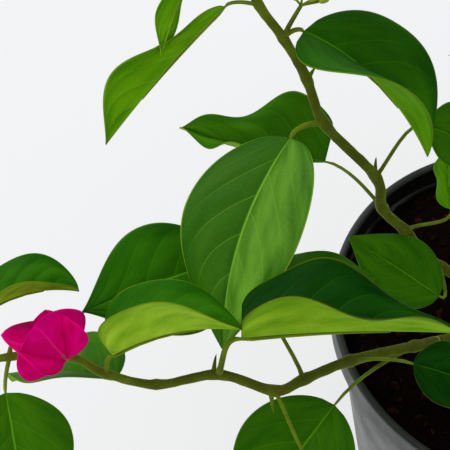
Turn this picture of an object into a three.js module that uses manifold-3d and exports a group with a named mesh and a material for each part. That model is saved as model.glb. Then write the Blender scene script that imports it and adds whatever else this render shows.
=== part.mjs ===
import * as THREE from 'three';
import { mergeVertices } from 'three/addons/utils/BufferGeometryUtils.js';
import Module from 'manifold-3d';

// A young bougainvillea bush in a round plastic nursery pot.
// Millimetres, +Z up, with the origin at the centre of the pot's flat underside.
// A heading is an angle in degrees about +Z from +X, and a pitch is an angle above the level.

const wasm = await Module();
wasm.setup();

const touchGap = 0.3;
const sliver = { edge: 0.04, height: 0.006, passes: 6 };

// The pot and what fills it.
const pot = {
  height: 150,
  footRadius: 60,
  shoulderRadius: 81,
  rimRadius: 85,
  rimHeight: 13,
  wall: 2,
  floor: 2.4,
  sides: 40,
  drainCount: 6,
  drainRadius: 4,
  drainCircle: 38,
};
const soilLevel = 138;
const soilRings = [16, 30, 44, 58, 70];
const soilLump = 1.6;

// The woody stump that the boughs leave, from its flat cut on the soil to its tip.
const trunkFlare = 0.16;
const trunkSides = 12;
const trunkRings = [
  { rise: 0, lean: 0, radius: 12.5 },
  { rise: 4, lean: 0, radius: 9.6 },
  { rise: 12, lean: 0.4, radius: 8 },
  { rise: 19, lean: 0.8, radius: 8.5 },
  { rise: 28, lean: 0.6, radius: 7 },
  { rise: 36, lean: 0.9, radius: 6.4 },
  { rise: 41, lean: 1, radius: 3.6 },
];

// Stem sizes, and the room that leaves and stems leave each other.
const stem = { thick: 2.9, thin: 1.5, boughSides: 8, twigSides: 5 };
const twig = { thick: 1.2, every: 2, count: 3, step: 23, spread: 56, lift: 16, taper: 0.95, sides: 4 };
const stalkRadius = 0.62;
const stalkSink = 3;
const rootDepth = 1.3;
const leafRoom = 8.5;
const stemRoom = 4.5;
const twigRoom = 11;
const leafThickness = 1.2;
const bladeFoot = { halfWidth: 1.2, halfHeight: 0.8 };
const smallLeaf = 44;
const bractThickness = 1;
const bloomHeart = { radius: 2.4, depth: 4 };
const potRoom = { radius: 93, height: 158, lowest: 116 };
const trunkZone = 28;

const lightGreen = 0x6f9a35;
const deepGreen = 0x2f6b22;

// The two shoots on the left: each step is a length, a heading and a pitch.
// A placed leaf sits on a knot of its shoot: its stalk is a length, a heading and a pitch,
// its size a length and a width, and its aim a heading, a pitch and a roll.
// cup holds the fold of its left half at base and tip, then of its right half, in degrees.
const leftHigh = {
  name: 'left_high',
  foot: 150,
  steps: [
    [54, 180, 37], [28, 171, 53], [19, 181, 56], [17, 143, 73], [35, 172, 53],
    [19, 130, 54], [17, 141, 50], [15, 152, 50], [13, 131, 56], [26, 144, 58],
    [23, 112, 62], [21, 160, 55], [17, 110, 60],
  ],
  enter: [1, 0.85],
  placed: [
    { on: 1, stalk: [20, 261, 21], size: [43, 28], aim: [150, 16, -25], curl: 15 },
    { on: 2, stalk: [23, 355, 47], size: [25, 14], aim: [98, 48, -62], curl: 10, cup: [25, 25, 25, 25] },
    {
      on: 3, stalk: [30, 135, 4], size: [64, 46], aim: [157, -9, 12], curl: 4,
      cup: [45, 45, 48, 86], wave: 4.5, ripples: 1.7, phase: 3, bow: 4, peak: 0.26, shoulder: 0.45, point: 1.1,
    },
    { on: 4, stalk: [27, 32, 39], size: [37, 28], aim: [1, -35, 17], curl: 15, cup: [20, 20, 20, 20] },
    {
      on: 5, stalk: [14, 207, 2], size: [80, 46], aim: [248, -36, -8], curl: 20,
      cup: [38, 38, 0, 4], wave: 1, bow: -6, peak: 0.42, shoulder: 0.6,
    },
    {
      on: 7, stalk: [8, 0, 28], size: [61, 51], aim: [321, -25, -16], curl: 40,
      cup: [20, 36, 5, 100], wave: 1, bow: 2, peak: 0.42, shoulder: 0.6,
    },
    {
      on: 8, stalk: [12, 188, 6], size: [62, 28], aim: [222, -28, 85], curl: 26,
      cup: [62, 20, 55, 60], wave: 4.5, ripples: 1.2, phase: 2.2, bow: -5,
      peak: 0.58, shoulder: 0.8, point: 0.85,
    },
    { on: 9, stalk: [19, 176, 45], size: [43, 15], aim: [234, -52, 101], curl: 10, cup: [30, 30, 30, 30] },
    { on: 9, stalk: [20, 352, 22], size: [50, 34], aim: [352, -4, -12], curl: 22, cup: [24, 24, 24, 24] },
  ],
  leavesFrom: 10,
  leafLength: 56,
  seed: 71,
};
const leftLow = {
  name: 'left_low',
  foot: 142,
  steps: [
    [22, 223, 28], [40, 213, 38], [27, 215, 37], [37, 211, 31], [21, 210, 14],
    [12, 208, 11], [21, 172, 19], [22, 192, 4], [18, 176, 19], [14, 167, 29],
    [20, 185, 10], [14, 198, -3], [14, 207, -12], [15, 201, -16],
  ],
  enter: [3, 0.4],
  placed: [
    { on: 3, stalk: [44, 221, 10], size: [60, 44], aim: [228, -25, -10], curl: 14 },
    { on: 4, stalk: [25, 6, -16], size: [40, 26], aim: [351, -21, 12], curl: 15 },
    { on: 5, stalk: [30, 110, 25], size: [50, 34], aim: [30, -25, 0], curl: 15 },
    { on: 6, stalk: [26, 300, -30], size: [40, 28], aim: [310, -35, -8], curl: 10 },
    {
      on: 7, stalk: [20, 32, 63], size: [74, 48], aim: [1, 1, -33], curl: 10,
      cup: [58, 50, 66, 50], wave: 3.5, phase: 3.87, peak: 0.34, shoulder: 0.45,
    },
    {
      on: 9, stalk: [8, 55, 59], size: [46, 48], aim: [9, 6, -36], curl: 40,
      cup: [45, 40, 72, 45], wave: 1, peak: 0.38, shoulder: 0.45,
    },
    { on: 9, stalk: [9, 39, -66], size: [62, 40], aim: [156, -40, 30], curl: 20, cup: [30, 30, 30, 30] },
    {
      on: 10, stalk: [17, 79, 5], size: [74, 46], aim: [36, -21, 4], curl: 10,
      cup: [20, 20, 0, -8], wave: 1, peak: 0.52, shoulder: 1.1,
    },
    { on: 11, stalk: [12, 265, -24], size: [50, 40], aim: [280, -44, -11], curl: 10 },
    {
      on: 12, stalk: [17, 81, 40], size: [36, 28], aim: [16, 3, -30], curl: 55,
      cup: [50, 50, 50, 50], wave: 1, peak: 0.5, shoulder: 0.7, point: 0.6,
    },
  ],
  bloom: {
    on: 10, stalk: [10.2, 272, 57], axis: [148, 44], turn: 75, spread: 0.36,
    bracts: [[22, 29], [18, 32], [23, 30]],
    shape: { cup: [10, 25, 10, 25], wave: 0.5, peak: 0.38, shoulder: 0.7, point: 0.7 },
  },
  leavesFrom: 13,
  leafLength: 44,
  seed: 29,
};

// A blossom is three bracts, each a length and a width, that lean out from one axis.
// Its turn is where the first bract stands round the axis, and its shape is a bract's outline and fold.
const endBloom = {
  stalk: [9, 0, 70], axis: [0, 75], turn: 30, spread: 0.7,
  bracts: [[29, 24.94], [29, 24.94], [29, 24.94]],
  shape: { cup: [24, 8, 24, 8], wave: 1.2, peak: 0.46, shoulder: 0.6, point: 0.7 },
};
const bractLean = 0.72;
const bractCurl = -18;

// The other shoots grow by rule from a foot on the trunk, each in a sector of its own.
const ruledShoots = [
  {
    name: 'front_left', foot: 153, heading: 262, pitch: 31, veer: -7, rise: -3, count: 10, step: 26,
    sector: [200, 268], leafLength: 72, seed: 12, bloom: true,
  },
  {
    name: 'front', foot: 163, heading: 286, pitch: 42, veer: -1, rise: -4, count: 9, step: 26,
    sector: [266, 303], leafLength: 76, seed: 5, bloom: false,
  },
  {
    name: 'front_right', foot: 147, heading: 317, pitch: 33, veer: 2, rise: -3, count: 9, step: 27,
    sector: [301, 338], leafLength: 78, seed: 8, bloom: true,
  },
  {
    name: 'right', foot: 158, heading: 355, pitch: 41, veer: -1, rise: -4, count: 9, step: 27,
    sector: [336, 378], leafLength: 76, seed: 21, bloom: false,
  },
  {
    name: 'back_right', foot: 146, heading: 36, pitch: 34, veer: 1, rise: -3, count: 9, step: 27,
    sector: [16, 58], leafLength: 78, seed: 34, bloom: true,
  },
  {
    name: 'back', foot: 160, heading: 76, pitch: 42, veer: 0, rise: -4, count: 9, step: 26,
    sector: [56, 97], leafLength: 76, seed: 43, bloom: false,
  },
  {
    name: 'back_left', foot: 148, heading: 108, pitch: 40, veer: 0, rise: -3, count: 9, step: 27,
    sector: [95, 160], leafLength: 75, seed: 57, bloom: true,
  },
  {
    name: 'top_right', foot: 166, heading: 330, pitch: 70, veer: 3, rise: -2, count: 9, step: 25,
    sector: null, leafLength: 74, seed: 64, bloom: false,
  },
  {
    name: 'top_back', foot: 162, heading: 100, pitch: 66, veer: -3, rise: -1, count: 8, step: 26,
    sector: null, leafLength: 74, seed: 92, bloom: true,
  },
];
const ruled = { enter: [3, 0.5], leavesFrom: 3, zigzag: 11, jitter: 9 };

// A ruled leaf is tried as it is drawn, then turned, dropped and shrunk in these steps.
// The last turn is to the leaf's own side of the stem.
const leafTries = [
  { turn: 0, drop: 0, shrink: 1 },
  { turn: 38, drop: -12, shrink: 0.95 },
  { turn: -38, drop: 12, shrink: 0.9 },
  { sideTurn: 75, drop: 16, shrink: 0.8 },
];
const leafBreadth = 0.64;
const leafStalk = { share: 0.16, least: 3, pitch: 24 };
const leafFade = 0.36;
const twigLeafScale = 0.78;

// Cuts across a blade: more of them on the leaves that are placed, one on a small leaf.
const bladeCuts = {
  placed: [0.14, 0.36, 0.62, 0.84],
  ruled: [0.24, 0.62],
  small: [0.4],
  bract: [0.22, 0.55, 0.85],
};

function add(point, vector, scale = 1) {
  return point.map((value, axis) => value + vector[axis] * scale);
}

function subtract(a, b) {
  return add(a, b, -1);
}

function dot(a, b) {
  return a[0] * b[0] + a[1] * b[1] + a[2] * b[2];
}

function cross(a, b) {
  return [
    a[1] * b[2] - a[2] * b[1],
    a[2] * b[0] - a[0] * b[2],
    a[0] * b[1] - a[1] * b[0],
  ];
}

function length(a) {
  return Math.sqrt(dot(a, a));
}

function unit(a) {
  return a.map((value) => value / length(a));
}

function distance(a, b) {
  return length(subtract(a, b));
}

function radians(degrees) {
  return (degrees * Math.PI) / 180;
}

function degrees(angle) {
  return (angle * 180) / Math.PI;
}

function direction(heading, pitch) {
  const level = Math.cos(radians(pitch));
  return [
    level * Math.cos(radians(heading)),
    level * Math.sin(radians(heading)),
    Math.sin(radians(pitch)),
  ];
}

// Even numbers from 0 to 1, the same ones on every run.
function seeded(seed) {
  let state = seed;
  return () => {
    state = (state * 1664525 + 1013904223) % 4294967296;
    return state / 4294967296;
  };
}

function distanceToSegment(point, start, end) {
  const along = subtract(end, start);
  const share = dot(subtract(point, start), along) / dot(along, along);
  return distance(point, add(start, along, Math.min(1, Math.max(0, share))));
}

// A blade's own axes: along it, across it to its left, and out of its top face.
function bladeAxes([heading, pitch, roll]) {
  const along = direction(heading, pitch);
  const level = direction(heading + 90, 0);
  const upright = cross(along, level);
  const c = Math.cos(radians(roll));
  const s = Math.sin(radians(roll));
  return {
    along,
    across: add(level.map((value) => value * c), upright, s),
    out: add(upright.map((value) => value * c), level, -s),
  };
}

// Half the width of an ovate blade with a drawn-out tip, as a share of its greatest half-width.
function bladeWidth(t, blade) {
  if (t <= 0 || t >= 1) {
    return 0;
  }
  const swell = Math.sin(Math.PI * t ** (Math.log(0.5) / Math.log(blade.peak)));
  return Math.max(swell, 0) ** (t < blade.peak ? blade.shoulder : blade.point);
}

// A point of a blade: t runs from base to tip, and side from the right edge (-1) to the left (1).
// The midrib is an arc over the chord from base to tip, and each half is folded and waved.
function bladePoint(blade, t, side) {
  const { along, across, out } = bladeAxes(blade.aim);
  const [chord, width] = blade.size;
  const half = radians(Math.max(blade.curl, 0.5)) / 2;
  const radius = chord / (2 * Math.sin(half));
  const angle = half * (2 * t - 1);
  const forward = radius * (Math.sin(angle) + Math.sin(half));
  const height = radius * (Math.cos(angle) - Math.cos(half));
  const [baseFold, tipFold] = side >= 0 ? blade.cup.slice(0, 2) : blade.cup.slice(2);
  const reach = 0.5 * width * bladeWidth(t, blade) * Math.abs(side);
  const fold = radians(baseFold + (tipFold - baseFold) * t - 10 * Math.abs(side));
  const ripple = 2 * Math.PI * blade.ripples * t + blade.phase + (side >= 0 ? 0 : 2.1);
  const lift =
    reach * Math.sin(fold) +
    blade.wave * side * side * Math.sin(ripple) * Math.sqrt(Math.sin(Math.PI * Math.min(Math.max(t, 0), 1)));
  const sideways = reach * Math.cos(fold) * (side >= 0 ? 1 : -1) + blade.bow * 4 * t * (1 - t);
  let point = add(blade.base, along, forward + lift * Math.sin(angle));
  point = add(point, across, sideways);
  return add(point, out, height + lift * Math.cos(angle));
}

const plainBlade = {
  curl: 15, cup: [15, 15, 15, 15], wave: 2, ripples: 1.5, phase: 1, bow: 0,
  peak: 0.4, shoulder: 0.75, point: 0.95,
};

// Points spread over a blade, for keeping blades and stems apart.
function bladeSamples(blade) {
  const samples = [blade.base];
  for (const t of [0.2, 0.45, 0.7, 0.9]) {
    for (const side of [-1, 0, 1]) {
      samples.push(bladePoint(blade, t, side));
    }
  }
  samples.push(bladePoint(blade, 1, 0));
  return samples;
}

function solidOf(vertices, triangles) {
  return new wasm.Manifold(new wasm.Mesh({
    numProp: 3,
    vertProperties: new Float32Array(vertices.flat()),
    triVerts: new Uint32Array(triangles.flat()),
  }));
}

function solidFromGeometry(geometry) {
  geometry.deleteAttribute('normal');
  geometry.deleteAttribute('uv');
  const merged = mergeVertices(geometry, 1e-4);
  return new wasm.Manifold(new wasm.Mesh({
    numProp: 3,
    vertProperties: merged.attributes.position.array,
    triVerts: new Uint32Array(merged.index.array),
  }));
}

function meshOf(name, solid, color, roughness) {
  const { corners, faces } = tidySurface(solid);
  const geometry = new THREE.BufferGeometry();
  const positions = faces.flatMap((face) => face.flatMap((corner) => corners[corner]));
  geometry.setAttribute('position', new THREE.Float32BufferAttribute(positions, 3));
  geometry.computeVertexNormals();
  const mesh = new THREE.Mesh(geometry, new THREE.MeshStandardMaterial({ color, roughness, metalness: 0 }));
  mesh.name = name;
  return mesh;
}

function faceNormal(corners, [a, b, c]) {
  return cross(subtract(corners[b], corners[a]), subtract(corners[c], corners[a]));
}

// The surface of a joined solid without the slivers that joins leave. A very short edge is drawn
// to a point and a thread-thin face is turned into its neighbour, where the surface stays closed.
function tidySurface(solid) {
  const { vertProperties, triVerts, numProp } = solid.getMesh();
  const corners = [];
  for (let i = 0; i < vertProperties.length; i += numProp) {
    corners.push([...vertProperties.slice(i, i + 3)]);
  }
  const faces = [];
  const around = corners.map(() => new Set());
  for (let i = 0; i < triVerts.length; i += 3) {
    const face = [...triVerts.slice(i, i + 3)];
    face.forEach((corner) => around[corner].add(faces.length));
    faces.push(face);
  }
  const setFace = (index, face) => {
    faces[index].forEach((corner) => around[corner].delete(index));
    faces[index] = face;
    face.forEach((corner) => around[corner].add(index));
  };
  const neighbours = (corner) => {
    const found = new Set([...around[corner]].flatMap((index) => faces[index]));
    found.delete(corner);
    return found;
  };
  const shared = (a, b) => [...around[a]].filter((index) => around[b].has(index));
  const keepsFacing = (before, after) => {
    const [was, is] = [faceNormal(corners, before), faceNormal(corners, after)];
    return dot(was, is) > 0.5 * length(was) * length(is) && length(is) > 0;
  };
  const sideLengths = (face) => face.map((corner, k) => distance(corners[corner], corners[face[(k + 1) % 3]]));
  const height = (face) => length(faceNormal(corners, face)) / Math.max(...sideLengths(face));
  const drawTogether = (keep, drop) => {
    const edgeFaces = shared(keep, drop);
    const common = [...neighbours(keep)].filter((corner) => neighbours(drop).has(corner));
    if (edgeFaces.length !== 2 || common.length !== 2) {
      return false;
    }
    const moved = [...around[drop]].filter((index) => !edgeFaces.includes(index));
    const renamed = (index) => faces[index].map((corner) => (corner === drop ? keep : corner));
    const sound = (index) => height(faces[index]) < sliver.height || keepsFacing(faces[index], renamed(index));
    if (!moved.every(sound)) {
      return false;
    }
    moved.forEach((index) => setFace(index, renamed(index)));
    edgeFaces.forEach((index) => setFace(index, []));
    return true;
  };
  const turnEdge = (index, k) => {
    const [a, b, m] = [faces[index][k], faces[index][(k + 1) % 3], faces[index][(k + 2) % 3]];
    const other = shared(a, b).find((face) => face !== index);
    const c = faces[other].find((corner) => corner !== a && corner !== b);
    const halves = [[m, a, c], [c, b, m]];
    if (shared(m, c).length > 0 || !halves.every((half) => keepsFacing(faces[other], half))) {
      return false;
    }
    setFace(index, halves[0]);
    setFace(other, halves[1]);
    return true;
  };
  for (let pass = 0; pass < sliver.passes; pass += 1) {
    for (let index = 0; index < faces.length; index += 1) {
      if (faces[index].length === 0) {
        continue;
      }
      const sides = sideLengths(faces[index]);
      const shortest = sides.indexOf(Math.min(...sides));
      const longest = sides.indexOf(Math.max(...sides));
      const [a, b] = [faces[index][shortest], faces[index][(shortest + 1) % 3]];
      const drawn = sides[shortest] < sliver.edge && (drawTogether(a, b) || drawTogether(b, a));
      if (!drawn && height(faces[index]) < sliver.height) {
        turnEdge(index, longest);
      }
    }
  }
  return { corners, faces: faces.filter((face) => face.length > 0) };
}

// Joins pairs of solids until one is left.
function joined(solids) {
  let parts = solids;
  while (parts.length > 1) {
    const next = [];
    for (let i = 0; i < parts.length; i += 2) {
      next.push(i + 1 < parts.length ? parts[i].add(parts[i + 1]) : parts[i]);
    }
    parts = next;
  }
  return parts[0];
}

// Triangles between rings of equal counts, each ring counterclockwise seen from the far end.
function bandTriangles(ringCount, sides) {
  const triangles = [];
  for (let ring = 0; ring + 1 < ringCount; ring += 1) {
    for (let k = 0; k < sides; k += 1) {
      const a = ring * sides + k;
      const b = ring * sides + ((k + 1) % sides);
      triangles.push([a, b, a + sides], [b, b + sides, a + sides]);
    }
  }
  return triangles;
}

// A closed tube through the points. Its ends are flat and square to it.
function tube(points, radii, sides, outline = () => 1) {
  const vertices = [];
  let across = null;
  points.forEach((point, i) => {
    const before = points[Math.max(i - 1, 0)];
    const after = points[Math.min(i + 1, points.length - 1)];
    const along = unit(subtract(after, before));
    const seed = across ?? (Math.abs(along[2]) > 0.9 ? [1, 0, 0] : [0, 0, 1]);
    across = unit(subtract(seed, along.map((value) => value * dot(seed, along))));
    const over = cross(along, across);
    for (let k = 0; k < sides; k += 1) {
      const angle = (2 * Math.PI * k) / sides;
      const reach = radii[i] * outline(angle, i);
      vertices.push(add(add(point, across, reach * Math.cos(angle)), over, reach * Math.sin(angle)));
    }
  });
  const triangles = bandTriangles(points.length, sides);
  const last = (points.length - 1) * sides;
  for (let k = 1; k + 1 < sides; k += 1) {
    triangles.push([0, k + 1, k], [last, last + k, last + k + 1]);
  }
  return solidOf(vertices, triangles);
}

// A blade as a thin lens: a blunt base that takes the stalk, sharp edges, and its thickness at the midrib.
function bladeSolid(blade, stations, thickness) {
  const { along, across, out } = bladeAxes(blade.aim);
  const half = radians(Math.max(blade.curl, 0.5)) / 2;
  const vertices = [
    add(blade.base, across, bladeFoot.halfWidth),
    add(blade.base, out, bladeFoot.halfHeight),
    add(blade.base, across, -bladeFoot.halfWidth),
    add(blade.base, out, -bladeFoot.halfHeight),
  ];
  for (const t of stations) {
    const angle = half * (2 * t - 1);
    const normal = add(out.map((value) => value * Math.cos(angle)), along, Math.sin(angle));
    const middle = bladePoint(blade, t, 0);
    vertices.push(
      bladePoint(blade, t, 1),
      add(middle, normal, thickness / 2),
      bladePoint(blade, t, -1),
      add(middle, normal, -thickness / 2),
    );
  }
  const tip = vertices.length;
  const last = tip - 4;
  const triangles = [[0, 2, 1], [0, 3, 2]];
  for (let ring = 0; ring < last; ring += 4) {
    for (let k = 0; k < 4; k += 1) {
      const a = ring + k;
      const b = ring + ((k + 1) % 4);
      // The top and the bottom face are split along the same diagonal, so that they never cross.
      triangles.push(...(k % 2 ? [[a, b, b + 4], [a, b + 4, a + 4]] : [[a, b, a + 4], [b, b + 4, a + 4]]));
    }
  }
  vertices.push(bladePoint(blade, 1, 0));
  for (let k = 0; k < 4; k += 1) {
    triangles.push([tip, last + k, last + ((k + 1) % 4)]);
  }
  return solidOf(vertices, triangles);
}

// The knots of a shoot, from its foot on the trunk's axis.
function shootKnots(shoot) {
  const knots = [[0, 0, shoot.foot]];
  const steps = shoot.steps ?? ruledSteps(shoot);
  for (const [reach, heading, pitch] of steps) {
    knots.push(add(knots[knots.length - 1], direction(heading, pitch), reach));
  }
  return knots;
}

function ruledSteps(shoot) {
  const random = seeded(shoot.seed);
  const steps = [];
  for (let i = 0; i < shoot.count; i += 1) {
    const side = i % 2 ? 1 : -1;
    const reach = shoot.step * (0.82 + 0.36 * random());
    const heading = shoot.heading + shoot.veer * i + side * ruled.zigzag + ruled.jitter * (random() - 0.5);
    const pitch = shoot.pitch + shoot.rise * i + ruled.jitter * (random() - 0.5);
    steps.push([reach, heading, pitch]);
  }
  return steps;
}

// Side twigs leave every few knots of a shoot, to one side and then the other.
function shootTwigs(shoot) {
  const random = seeded(shoot.seed + 1000);
  const twigs = [];
  for (let knot = shoot.leavesFrom + 1; knot < shoot.knots.length - 1; knot += twig.every) {
    const side = twigs.length % 2 ? 1 : -1;
    const run = subtract(shoot.knots[knot + 1], shoot.knots[knot]);
    const heading = degrees(Math.atan2(run[1], run[0])) + side * (twig.spread + 16 * (random() - 0.5));
    const pitch = Math.min(60, degrees(Math.asin(run[2] / length(run))) + twig.lift * random());
    const knots = [shoot.knots[knot]];
    for (let i = 0; i < twig.count; i += 1) {
      const reach = twig.step * (0.85 + 0.3 * random());
      const turn = heading + side * (8 * (random() - 0.5) - 7 * i);
      knots.push(add(knots[i], direction(turn, pitch + 5 * i), reach));
    }
    const tips = knots.slice(1);
    const clear = shoots.every((other) => tips.every((tip) => other.knots.every((end, i) =>
      i === 0 || other === shoot || distanceToSegment(tip, other.knots[i - 1], end) > twigRoom)));
    if (clear && tips.every((tip) => inOwnSpace(shoot, tip))) {
      twigs.push({ knots, root: knot });
    }
  }
  return twigs;
}

// A ruled shoot keeps to its sector, off the pot, and out of the open air round the two left shoots.
function inOwnSpace(shoot, [x, y, z]) {
  const radius = Math.hypot(x, y);
  const overPot = radius > potRoom.radius || z > potRoom.height;
  const openSide = x < -20 + 0.1 * y - 0.15 * z && y + 0.44 * z > -8 && y + 0.8 * z < 312 && x > -290;
  if (!overPot || z < potRoom.lowest || openSide) {
    return false;
  }
  if (!shoot.sector || radius < trunkZone) {
    return true;
  }
  const heading = (degrees(Math.atan2(y, x)) + 720 - shoot.sector[0]) % 360;
  return heading <= shoot.sector[1] - shoot.sector[0];
}

const acceptedBlades = [];

function roomFor(blade, shoot) {
  const samples = bladeSamples(blade);
  if (!samples.every((sample) => inOwnSpace(shoot, sample))) {
    return false;
  }
  const middle = bladePoint(blade, 0.5, 0);
  const span = blade.size[0];
  for (const other of acceptedBlades) {
    if (distance(middle, other.middle) > (span + other.span) / 2 + leafRoom + 6) {
      continue;
    }
    if (samples.some((a) => other.samples.some((b) => distance(a, b) < leafRoom))) {
      return false;
    }
  }
  return stems.every((line) => samples.slice(1).every((sample) =>
    line.every((end, i) => i === 0 || distanceToSegment(sample, line[i - 1], end) > stemRoom)));
}

function accept(blade) {
  acceptedBlades.push({ samples: bladeSamples(blade), middle: bladePoint(blade, 0.5, 0), span: blade.size[0] });
}

// Leaves on the knots of one stem. Each is tried in a few headings and skipped where none has room.
function ruledLeaves(shoot, knots, first, scale, seed) {
  const random = seeded(seed);
  const leaves = [];
  for (let knot = first; knot < knots.length; knot += 1) {
    const run = subtract(knots[knot], knots[knot - 1]);
    const ahead = degrees(Math.atan2(run[1], run[0]));
    const side = knot % 2 ? 1 : -1;
    const atTip = knot === knots.length - 1;
    const age = 1 - leafFade * ((knot - first) / Math.max(knots.length - first, 1));
    const span = shoot.leafLength * scale * age * (0.86 + 0.28 * random());
    const spread = side * (atTip ? 20 : 62) + 40 * (random() - 0.5);
    const slope = -12 - 26 * random();
    const roll = 34 * (random() - 0.5);
    const curl = 14 + 34 * random();
    const fold = 10 + 24 * random();
    const phase = 6.28 * random();
    for (const { turn, sideTurn, drop, shrink } of leafTries) {
      const heading = ahead + spread + (turn ?? sideTurn * side);
      const stalk = leafStalk.share * span + leafStalk.least;
      const blade = {
        ...plainBlade,
        size: [span * shrink, leafBreadth * span * shrink],
        aim: [heading, slope + drop, roll],
        curl,
        cup: [fold, fold, fold, fold],
        phase,
        wave: 1.5,
        base: add(knots[knot], direction(heading, leafStalk.pitch + drop), stalk),
      };
      if (roomFor(blade, shoot)) {
        leaves.push({ blade, from: rootOn(knots, knot) });
        accept(blade);
        break;
      }
    }
  }
  return leaves;
}

function placedLeaves(shoot) {
  return (shoot.placed ?? []).map(({ on, stalk, ...shape }) => {
    const base = add(shoot.knots[on], direction(stalk[1], stalk[2]), stalk[0]);
    const blade = { ...plainBlade, ...shape, base };
    accept(blade);
    return { blade, from: rootOn(shoot.knots, on), placed: true };
  });
}

// Three broad bracts round one axis, each with its top face turned in to it.
function bloomBracts({ axis, turn, spread, bracts, shape }, at) {
  const inward = direction(axis[0], axis[1]);
  const { across, out } = bladeAxes([axis[0], axis[1], 0]);
  return bracts.map((size, k) => {
    const angle = radians(turn + (360 * k) / bracts.length);
    const spoke = add(across.map((value) => value * Math.cos(angle)), out, Math.sin(angle));
    const run = unit(add(inward.map((value) => value * bractLean), spoke, spread));
    const heading = degrees(Math.atan2(run[1], run[0]));
    const pitch = degrees(Math.asin(run[2]));
    const flat = bladeAxes([heading, pitch, 0]);
    const roll = degrees(Math.atan2(-dot(inward, flat.across), dot(inward, flat.out)));
    return { ...plainBlade, ...shape, base: at, size, aim: [heading, pitch, roll], curl: bractCurl, phase: k };
  });
}

const shoots = [leftHigh, leftLow, ...ruledShoots.map((shoot) => ({ ...ruled, ...shoot }))];
for (const shoot of shoots) {
  shoot.knots = shootKnots(shoot);
}
for (const shoot of shoots) {
  shoot.twigs = shootTwigs(shoot);
}
const stems = shoots.flatMap((shoot) => [shoot.knots, ...shoot.twigs.map((side) => side.knots)]);
for (const shoot of shoots) {
  shoot.leaves = placedLeaves(shoot);
  if (shoot.bloom) {
    const bloom = shoot.bloom === true ? { ...endBloom, on: shoot.knots.length - 1 } : shoot.bloom;
    const [reach, heading, pitch] = bloom.stalk;
    const at = add(shoot.knots[bloom.on], direction(heading, pitch), reach);
    const heart = add(at, direction(bloom.axis[0], bloom.axis[1]), bloomHeart.depth);
    shoot.bracts = bloomBracts(bloom, at);
    shoot.peduncle = [rootOn(shoot.knots, bloom.on), at, heart];
    shoot.bracts.forEach(accept);
  }
}
for (const shoot of shoots) {
  shoot.leaves.push(...ruledLeaves(shoot, shoot.knots, shoot.leavesFrom, 1, shoot.seed + 2000));
  shoot.twigs.forEach((side, i) => {
    shoot.leaves.push(...ruledLeaves(shoot, side.knots, 1, twigLeafScale, shoot.seed + 3000 + i));
  });
}

function stemRadii(shoot) {
  const lengths = shoot.knots.map((knot, i) => (i ? distance(knot, shoot.knots[i - 1]) : 0));
  const total = lengths.reduce((sum, value) => sum + value, 0);
  let run = 0;
  return lengths.map((value) => {
    run += value;
    return stem.thick + (stem.thin - stem.thick) * (run / total);
  });
}

// A bough runs from the trunk to where it enters its foliage, 0.3 mm short of the mass's stem.
function splitShoot(shoot) {
  const radii = stemRadii(shoot);
  const [knot, share] = shoot.enter;
  const run = subtract(shoot.knots[knot], shoot.knots[knot - 1]);
  const meeting = add(shoot.knots[knot - 1], run, share);
  const radius = radii[knot - 1] + (radii[knot] - radii[knot - 1]) * share;
  return {
    bough: {
      points: [...shoot.knots.slice(0, knot), add(meeting, unit(run), -touchGap / 2)],
      radii: [...radii.slice(0, knot), radius],
    },
    mass: {
      points: [add(meeting, unit(run), touchGap / 2), ...shoot.knots.slice(knot)],
      radii: [radius, ...radii.slice(knot)],
    },
  };
}

function trunkSolid(swell) {
  const last = trunkRings.length - 1;
  const points = trunkRings.map((ring) => [ring.lean, 0, soilLevel + touchGap + ring.rise]);
  const radii = trunkRings.map((ring) => ring.radius + swell);
  const lobes = (angle, i) => 1 + trunkFlare * (1 - i / last) ** 3 * Math.cos(3 * angle);
  return tube(points, radii, trunkSides, lobes);
}

function boughSolid(shoot) {
  const { points, radii } = splitShoot(shoot).bough;
  return tube(points, radii, stem.boughSides).subtract(trunkSolid(touchGap));
}

function bladeStations(blade, placed) {
  if (placed) {
    return bladeCuts.placed;
  }
  return blade.size[0] > smallLeaf ? bladeCuts.ruled : bladeCuts.small;
}

// Where a twig or a stalk is rooted: just short of the knot, on the axis of the stem that carries it.
function rootOn(knots, knot) {
  const run = unit(subtract(knots[knot], knots[knot - 1]));
  return add(knots[knot], run, -rootDepth);
}

function massSolid(shoot) {
  const { points, radii } = splitShoot(shoot).mass;
  const solids = [tube(points, radii, stem.twigSides)];
  for (const side of shoot.twigs) {
    const thin = side.knots.map((_, i) => twig.thick * twig.taper ** i);
    solids.push(tube([rootOn(shoot.knots, side.root), ...side.knots.slice(1)], thin, twig.sides));
  }
  for (const { blade, from, placed } of shoot.leaves) {
    const inside = bladePoint(blade, stalkSink / blade.size[0], 0);
    solids.push(tube([from, inside], [stalkRadius, stalkRadius], 3));
    solids.push(bladeSolid(blade, bladeStations(blade, placed), leafThickness));
  }
  if (shoot.bracts) {
    solids.push(tube(shoot.peduncle, [stalkRadius, bloomHeart.radius, bloomHeart.radius], 5));
    for (const bract of shoot.bracts) {
      solids.push(bladeSolid(bract, bladeCuts.bract, bractThickness));
    }
  }
  return joined(solids);
}

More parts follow.
